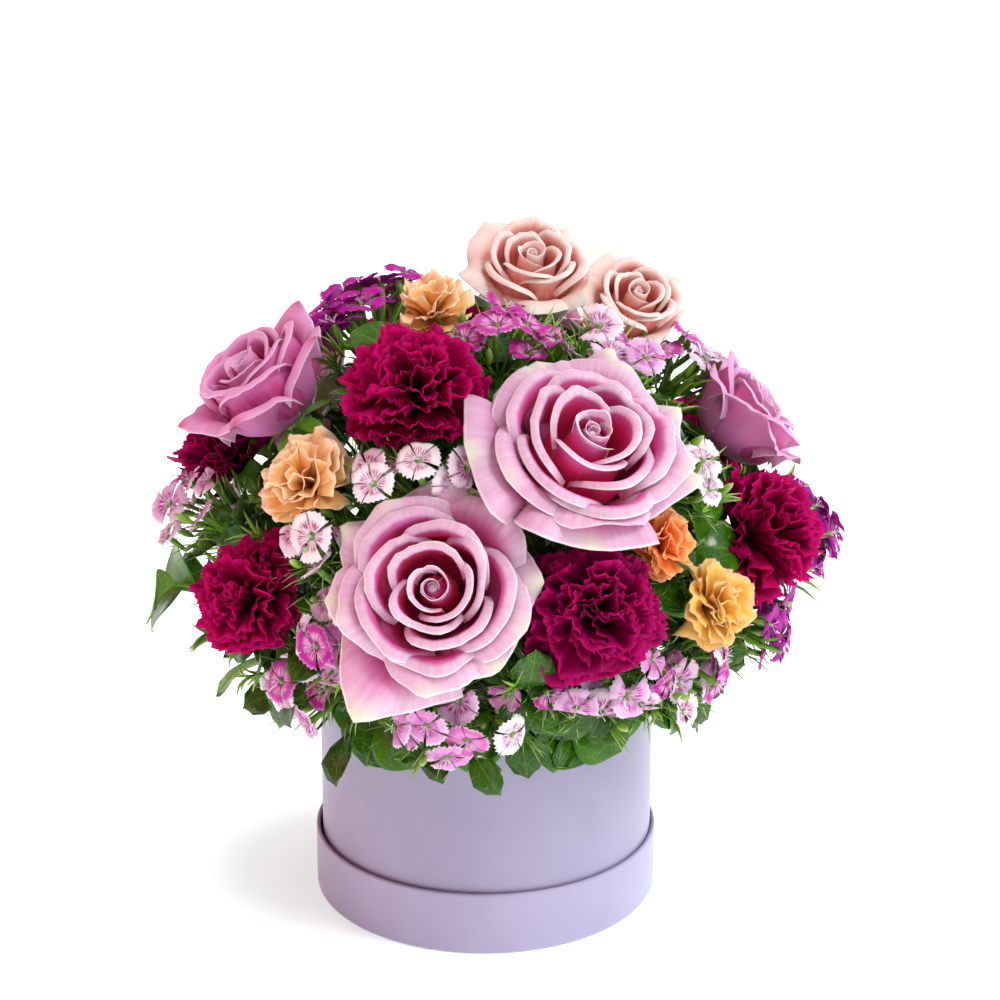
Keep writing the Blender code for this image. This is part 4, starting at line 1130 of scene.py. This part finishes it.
# A fan that leaves the calyx at (0, -0.24), bends out and ends on a flattened ball. Its normal shift
# is a broad ruffle, sin(pi k v + phase) u ^ 1.5, and a fine crimp of the rim. Its edge is toothed.
def carnationPetal(depth, turn, radius, form, rng):
    u, v = petalGrid(form["rows"], form["columns"])
    tilt = math.radians(-12 + 110 * depth**0.66) + 0.10 * rng.normal()
    size = rng.uniform(0.88, 1.04)
    tipR, tipZ = size * math.sin(tilt), 0.06 + 0.80 * size * math.cos(tilt)
    bendR, bendZ = 0.16 * math.sin(tilt), 0.05 + 0.42 * math.cos(tilt)
    teeth = np.abs((v * 0.5 * form["teeth"] + rng.random()) % 1.0 - 0.5) * 2
    reach = 1 - 0.15 * np.abs(v) ** 2.4 - form["bite"] * teeth * u**6
    w = u * (reach + 0.05 * np.sin(4.2 * v + 6 * rng.random()))
    pathR = 2 * w * (1 - w) * bendR + w**2 * tipR
    pathZ = -0.24 * (1 - w) ** 2 + 2 * w * (1 - w) * bendZ + w**2 * tipZ
    slopeR = 2 * (1 - w) * bendR + 2 * w * (tipR - bendR)
    slopeZ = 2 * (1 - w) * (bendZ + 0.24) + 2 * w * (tipZ - bendZ)
    slope = np.hypot(slopeR, slopeZ)
    half = form["width"] * rng.uniform(0.85, 1.15) * (0.12 + 0.88 * u**1.15)
    folds = rng.uniform(*form["folds"])
    broad = np.sin(math.pi * folds * v + anyPhase(rng))
    broad = broad * (0.65 + 0.35 * np.sin(3 * v + anyPhase(rng)))
    crimp = np.sin(math.pi * (folds * 2.7) * v + anyPhase(rng))
    shift = form["ruffle"] * rng.uniform(0.7, 1.35) * broad * u**1.5 + form["crimp"] * crimp * u**5
    shift = shift + rng.normal() * 0.10 * v**2 * u + 0.05 * rng.normal() * u**3
    twist = rng.normal() * 0.30 * u**1.5
    sideways = half * v * np.cos(twist)
    shift = shift + half * v * np.sin(twist)
    out = pathR - shift * slopeZ / slope
    lift = pathZ + shift * slopeR / slope
    return radius * aroundAxis(out, sideways, turn, lift)


def makeCarnation(name, settings, form, materials, seed):
    rng = np.random.default_rng(seed)
    radius = settings["radius"]
    big = form is carnationForm
    axes = headFrame(settings["place"], settings["turn"])
    cell = cellWalls(name)
    base = settings["place"][2] - headSeat * radius
    origin = stemCentre + base * axes[:, 2]
    parts = []
    if abs(settings["place"][0]) > behind["azimuth"]:
        form = dict(form, columns=behind["columns"])
    for index in range(form["petals"]):
        depth = (index + 0.5) / form["petals"]
        local = carnationPetal(depth, index * goldenAngle + 0.2 * rng.normal(), radius, form, rng)
        points = pressed(origin + local @ axes.T, cell)
        parts.append(sheet(points, form["thick"], rng.random(), depth))

    # Stem and calyx tube
    low = base - form["tube"]
    heights = (stemInnerEnd, low - 0.004, low, low + 0.004, base - 0.26 * radius - 0.002,
               base - 0.16 * radius)
    radii = (0.0021, 0.0021, *(share * form["calyx"] for share in (0.72, 0.9, 1.0, 1.05)))
    parts.append(stalk(axes[:, 2], heights, radii, 14, 0.45))
    if big:
        blades = stemLeaves("carnation", headFrame(settings["place"]), base, cell, rng)
        parts += [dict(blade, material=2) for blade in blades]
    makePiece(name + "_bloom", parts, materials, [name])


# Petal of a carnation: dark at the root, then its own colour, then a lighter toothed rim, with fine lines
# along it and each petal a little different. On the crimson and wine blooms the dark root is painted
# shade of the flower's depths and the rim partly a painted highlight on its lit edges; on the sprays root
# and rim are the flower's own orange heart and paler edge.
def carnationMaterial(name, colours):
    material, tree, shader = newMaterial(
        name, Specular_IOR_Level=0.04,
        Subsurface_Weight=0.14, Subsurface_Scale=0.003, Subsurface_Radius=(1.0, 0.3, 0.4),
    )
    own = useGroup(tree, readerGroup)
    rootHueAndShade, first, second, rim = (paint(code) for code in colours)
    colour = blend(tree, own["tint"], first, second)
    # Dark root: painted shade of the flower's depths on the crimson and wine blooms, the own orange heart
    # on the sprays
    colour = blend(tree, fallStep(tree, own["along"], 0.25, 0.80), colour, rootHueAndShade)
    veins = veinsOf(tree, own, 30.0)
    colour = wash(tree, colour, veins, 0.32, rootHueAndShade)
    # Lighter rim: partly the petal's own paler edge and partly a painted highlight on the lit edges of
    # the crimson and wine blooms
    colour = wash(tree, colour, easeStep(tree, own["along"], 0.90, 1.0), 0.65, rim)
    dress(tree, shader, colour, (veins, 0.3, 0.0003), (veins, 0.2, 0.48))
    return material


# Colours of each kind: root (painted shade on crimson and wine), two own tones, rim (partly a painted
# highlight on crimson and wine)
carnationPaints = dict(
    crimson=("#42001c", "#8c0038", "#aa0050", "#cc0a6c"),
    wine=("#34001a", "#7a003c", "#9a0054", "#bc1066"),
    peach=("#f0a450", "#fbc87c", "#fdd8a4", "#fee8d0"),
    orange=("#e0651c", "#f28e44", "#f6a45c", "#f8bc8c"),
    yellow=("#e8a63c", "#f9c860", "#fbd684", "#f8c49c"),
)
carnationPaper = {
    kind: carnationMaterial("carnation_" + kind, colours) for kind, colours in carnationPaints.items()}
for seed, (name, settings) in enumerate(carnations.items()):
    materials = [carnationPaper[settings["kind"]], sprig, glossy]
    makeCarnation(name, settings, carnationForm, materials, 300 + seed)
for seed, (name, settings) in enumerate(sprayCarnations.items()):
    materials = [carnationPaper[settings["kind"]], sprig]
    makeCarnation(name, settings, sprayForm, materials, 350 + seed)
stage("carnations")

# Dianthus

# lost is the share of petals that have fallen, buds the number of needles that end in one, and
# sprays from the elevation leavesFrom up have leaves on their stems
floretForm = dict(radius=0.0124, rows=5, columns=11, thick=0.0003, petals=5, lost=0.03, stamens=4,
                  forkDepth=0.034, needles=40, buds=4, leavesFrom=25)

# Each kind of floret: the tints that it is picked from, as places on the scale of petalPaint, the
# area of the head that each takes, and its size
floretKinds = dict(
    candy=dict(tints=(0.02, 0.06, 0.12, 0.20, 0.30, 0.42, 0.54, 0.64), area=0.000096, size=1.0),
    lilac=dict(tints=(0.12, 0.24, 0.34, 0.60), area=0.000096, size=1.0),
    magenta=dict(tints=(0.55, 0.62, 0.70, 0.74), area=0.000080, size=1.0),
    purple=dict(tints=(0.90, 0.94, 0.98, 1.00), area=0.000052, size=1.14),
    white=dict(tints=(0.02, 0.05, 0.10), area=0.000096, size=1.0),
)


# Fan petal, toothed along its end, narrow at its claw: half width ~ 0.05 + 0.56 u ^ 1.1
def floretPetal(turn, size, rng):
    u, v = petalGrid(floretForm["rows"], floretForm["columns"])
    teeth = np.arange(floretForm["columns"]) % 2
    reach = u * (1 - 0.13 * v**2 - 0.10 * teeth * u**6 * rng.uniform(0.6, 1.3))
    half = 0.05 + 0.56 * u**1.1 - 0.06 * u**4
    rise = rng.uniform(0.02, 0.22)
    curl = rng.uniform(0.05, 0.30)
    lift = -0.16 * (1 - u) ** 2 + rise * reach - curl * reach**3 + rng.normal() * 0.05 * v * u
    lift = lift + 0.035 * np.sin(5 * v + anyPhase(rng)) * u**2 - 0.08 * v**2 * u
    return size * aroundAxis(0.06 + 0.94 * reach, half * v, turn, lift)


# One floret with its stamens, its slender calyx and the stalk down to the heart of its spray
def floret(centre, axes, size, heart, cell, tint, rng):
    parts = []
    phase = anyPhase(rng)
    opened = rng.uniform(0.9, 1.06)
    for index in range(floretForm["petals"]):
        if rng.random() < floretForm["lost"]:
            continue
        turn = phase + 2 * math.pi * index / floretForm["petals"] + 0.08 * rng.normal()
        local = floretPetal(turn, size * opened, rng)
        points = pressed(centre + local @ axes.T, cell, 0.0004)
        parts.append(sheet(points, floretForm["thick"], tint + 0.015 * rng.normal(), rng.random()))
    u = np.linspace(0, 1, 4)[:, None]
    for index in range(floretForm["stamens"]):
        side = inHead(axes, phase + 2 * math.pi * index / floretForm["stamens"])
        path = centre - 0.0015 * axes[:, 2] + 0.0042 * u * axes[:, 2] + 0.0030 * u**2 * side
        parts.append(tube(path, (0.00022, 0.0002, 0.00016, 0.00022), 4, 0.9, 0.0, 2))
    neck = centre - 0.0012 * axes[:, 2]
    bend = centre - 0.013 * axes[:, 2]
    path = np.array((neck, 0.6 * neck + 0.4 * bend, bend, 0.5 * bend + 0.5 * heart, heart))
    parts.append(tube(path, (0.0016, 0.0017, 0.0014, 0.0007, 0.0007), 6, 0.5))
    return parts


# Sunflower spiral over the oval head: the centre and the outward frame of each floret
def floretPlaces(settings, axes, count, rng):
    wide, tall = settings["spread"]
    out = axes[:, 2]
    turn = anyPhase(rng)
    for index in range(count):
        ring = 1.6 * math.sqrt((index + 0.35) / count)
        angle = index * goldenAngle + turn
        x, y = wide * ring * math.cos(angle), tall * ring * math.sin(angle)
        depth = settings["place"][2] - 0.0042 * (index % 4) - 0.002 * ring + 0.003
        off = x * axes[:, 0] + y * axes[:, 1]
        centre = stemCentre + (depth - settings.get("sink", 0.0)) * out + x * axes[:, 0] + y * axes[:, 1]
        facing = unit(out + 10.0 * off + 0.22 * rng.normal(size=3))
        right = unit(np.cross(axes[:, 1], facing))
        yield centre, np.column_stack((right, np.cross(facing, right), facing))


def makeDianthus(name, settings, materials, seed):
    rng = np.random.default_rng(seed)
    axes = headFrame(settings["place"])
    cell = cellWalls(name)
    out = axes[:, 2]
    fork = settings["place"][2] - floretForm["forkDepth"] - settings.get("sink", 0.0)
    heart = stemCentre + fork * out
    wide, tall = settings["spread"]
    kind = floretKinds[settings["kind"]]
    count = max(3, round((wide + 0.008) * (tall + 0.008) / kind["area"]))
    heights = (stemInnerEnd, fork - 0.005, fork - 0.001, fork + 0.002)
    parts = [stalk(out, heights, (0.0014, 0.0014, 0.0026, 0.0020), 8, 0.4)]
    for centre, facing in floretPlaces(settings, axes, count, rng):
        centre = pressed(centre[None, :], cell)[0]
        size = floretForm["radius"] * rng.uniform(0.86, 1.04) * kind["size"]
        tint = kind["tints"][rng.integers(len(kind["tints"]))]
        parts += floret(centre, facing, size, heart, cell, tint, rng)

    # Needles round the florets, the first of them with buds
    for index in range(floretForm["needles"]):
        angle = 2 * math.pi * rng.random()
        x, y = (wide + 0.010) * math.cos(angle), (tall + 0.010) * math.sin(angle)
        off = x * axes[:, 0] + y * axes[:, 1]
        ring = rng.uniform(0.25, 0.9)
        start = heart + ring * off + rng.uniform(0.0, 0.014) * out
        side = off / math.hypot(x, y)
        second = rng.uniform(0.2, 1.0) * out + rng.uniform(0.4, 1.4) * side
        length = rng.uniform(0.014, 0.026)
        width = rng.uniform(0.0014, 0.0026)
        parts.append(needle(start, out + 0.5 * side, second, length, width, rng.uniform(0.0, 1.0)))
        if index < floretForm["buds"]:
            base = start + 0.6 * length * out
            path = base + np.array((0.0, 0.003, 0.006, 0.009, 0.011))[:, None] * out
            tint = rng.uniform(0.4, 0.9)
            parts.append(tube(path, (0.0007, 0.0018, 0.0020, 0.0014, 0.0003), 7, tint, layer=0.9))
            path = np.linspace(0, 1, 3)[:, None] * (base - heart) + heart
            parts.append(tube(path, (0.0006, 0.0006, 0.0007), 5, 0.5))
    if settings["place"][1] >= floretForm["leavesFrom"]:
        parts += [dict(blade, material=3) for blade in stemLeaves("dianthus", axes, fork, cell, rng)]
    makePiece(name + "_spray", parts, materials, [name])


# Smooth scale of colours, given as (place, colour) pairs
def scaleOf(tree, value, stops):
    ramp = addNode(tree, "ValToRGB", {0: value})
    elements = ramp.color_ramp.elements
    while len(elements) < len(stops):
        elements.new(0.5)
    for element, (place, code) in zip(elements, stops):
        element.position = place
        element.color = paint(code)
    return ramp.outputs[0]


# Floret petals: a scale of colours by tint from white over pink and magenta to purple, with darker
# lines and a ring of short marks on the pale ones and a pale throat on the dark ones
petalPaint = ((0.0, "#f6edf2"), (0.12, "#ead2e6"), (0.30, "#d892cc"), (0.48, "#ca50a8"),
              (0.62, "#b42c96"), (0.74, "#b41a88"), (0.92, "#b40c9c"), (1.0, "#980a8c"))
markPaint = ((0.0, "#b02c78"), (0.30, "#9c2484"), (0.50, "#f0c4e2"), (0.74, "#e39acb"), (1.0, "#4a0640"))
rimPaint = ((0.0, "#fbf6f8"), (0.30, "#f3e2ee"), (0.50, "#eab6da"), (0.74, "#d05ab0"), (1.0, "#b0209c"))
fringed, tree, shader = newMaterial(
    "dianthus_petal", Specular_IOR_Level=0.12, Sheen_Weight=0.04,
    Subsurface_Weight=0.18, Subsurface_Scale=0.002, Subsurface_Radius=(1.0, 0.5, 0.8),
)
own = useGroup(tree, readerGroup)
along, tint = own["along"], own["tint"]
lines = veinsOf(tree, own, 15.0)
zone = times(tree, easeStep(tree, along, 0.10, 0.30), fallStep(tree, along, 0.42, 0.66))
streak = times(tree, easeStep(tree, lines, 0.3, 0.6), zone)
colour = wash(tree, scaleOf(tree, tint, petalPaint), streak, 0.95, scaleOf(tree, tint, markPaint))
colour = wash(tree, colour, easeStep(tree, along, 0.80, 0.98), 0.7, scaleOf(tree, tint, rimPaint))
colour = wash(tree, colour, fallStep(tree, along, 0.04, 0.20), 0.7, paint("#3f5a26"))
dress(tree, shader, colour, (lines, 0.35, 0.0003), (lines, 0.15, 0.5))

stamen, tree, shader = newMaterial("stamen", Roughness=0.6)
speck = blotches(tree, 900.0)
colour = blend(tree, speck, paint("#f6f0f2"), paint("#dcc6d6"))
dress(tree, shader, colour, (speck, 0.2, 0.0002))

for seed, (name, settings) in enumerate(dianthus.items()):
    makeDianthus(name, settings, [fringed, sprig, stamen, glossy], 400 + seed)
stage("dianthus")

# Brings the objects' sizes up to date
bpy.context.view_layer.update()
stage("done")
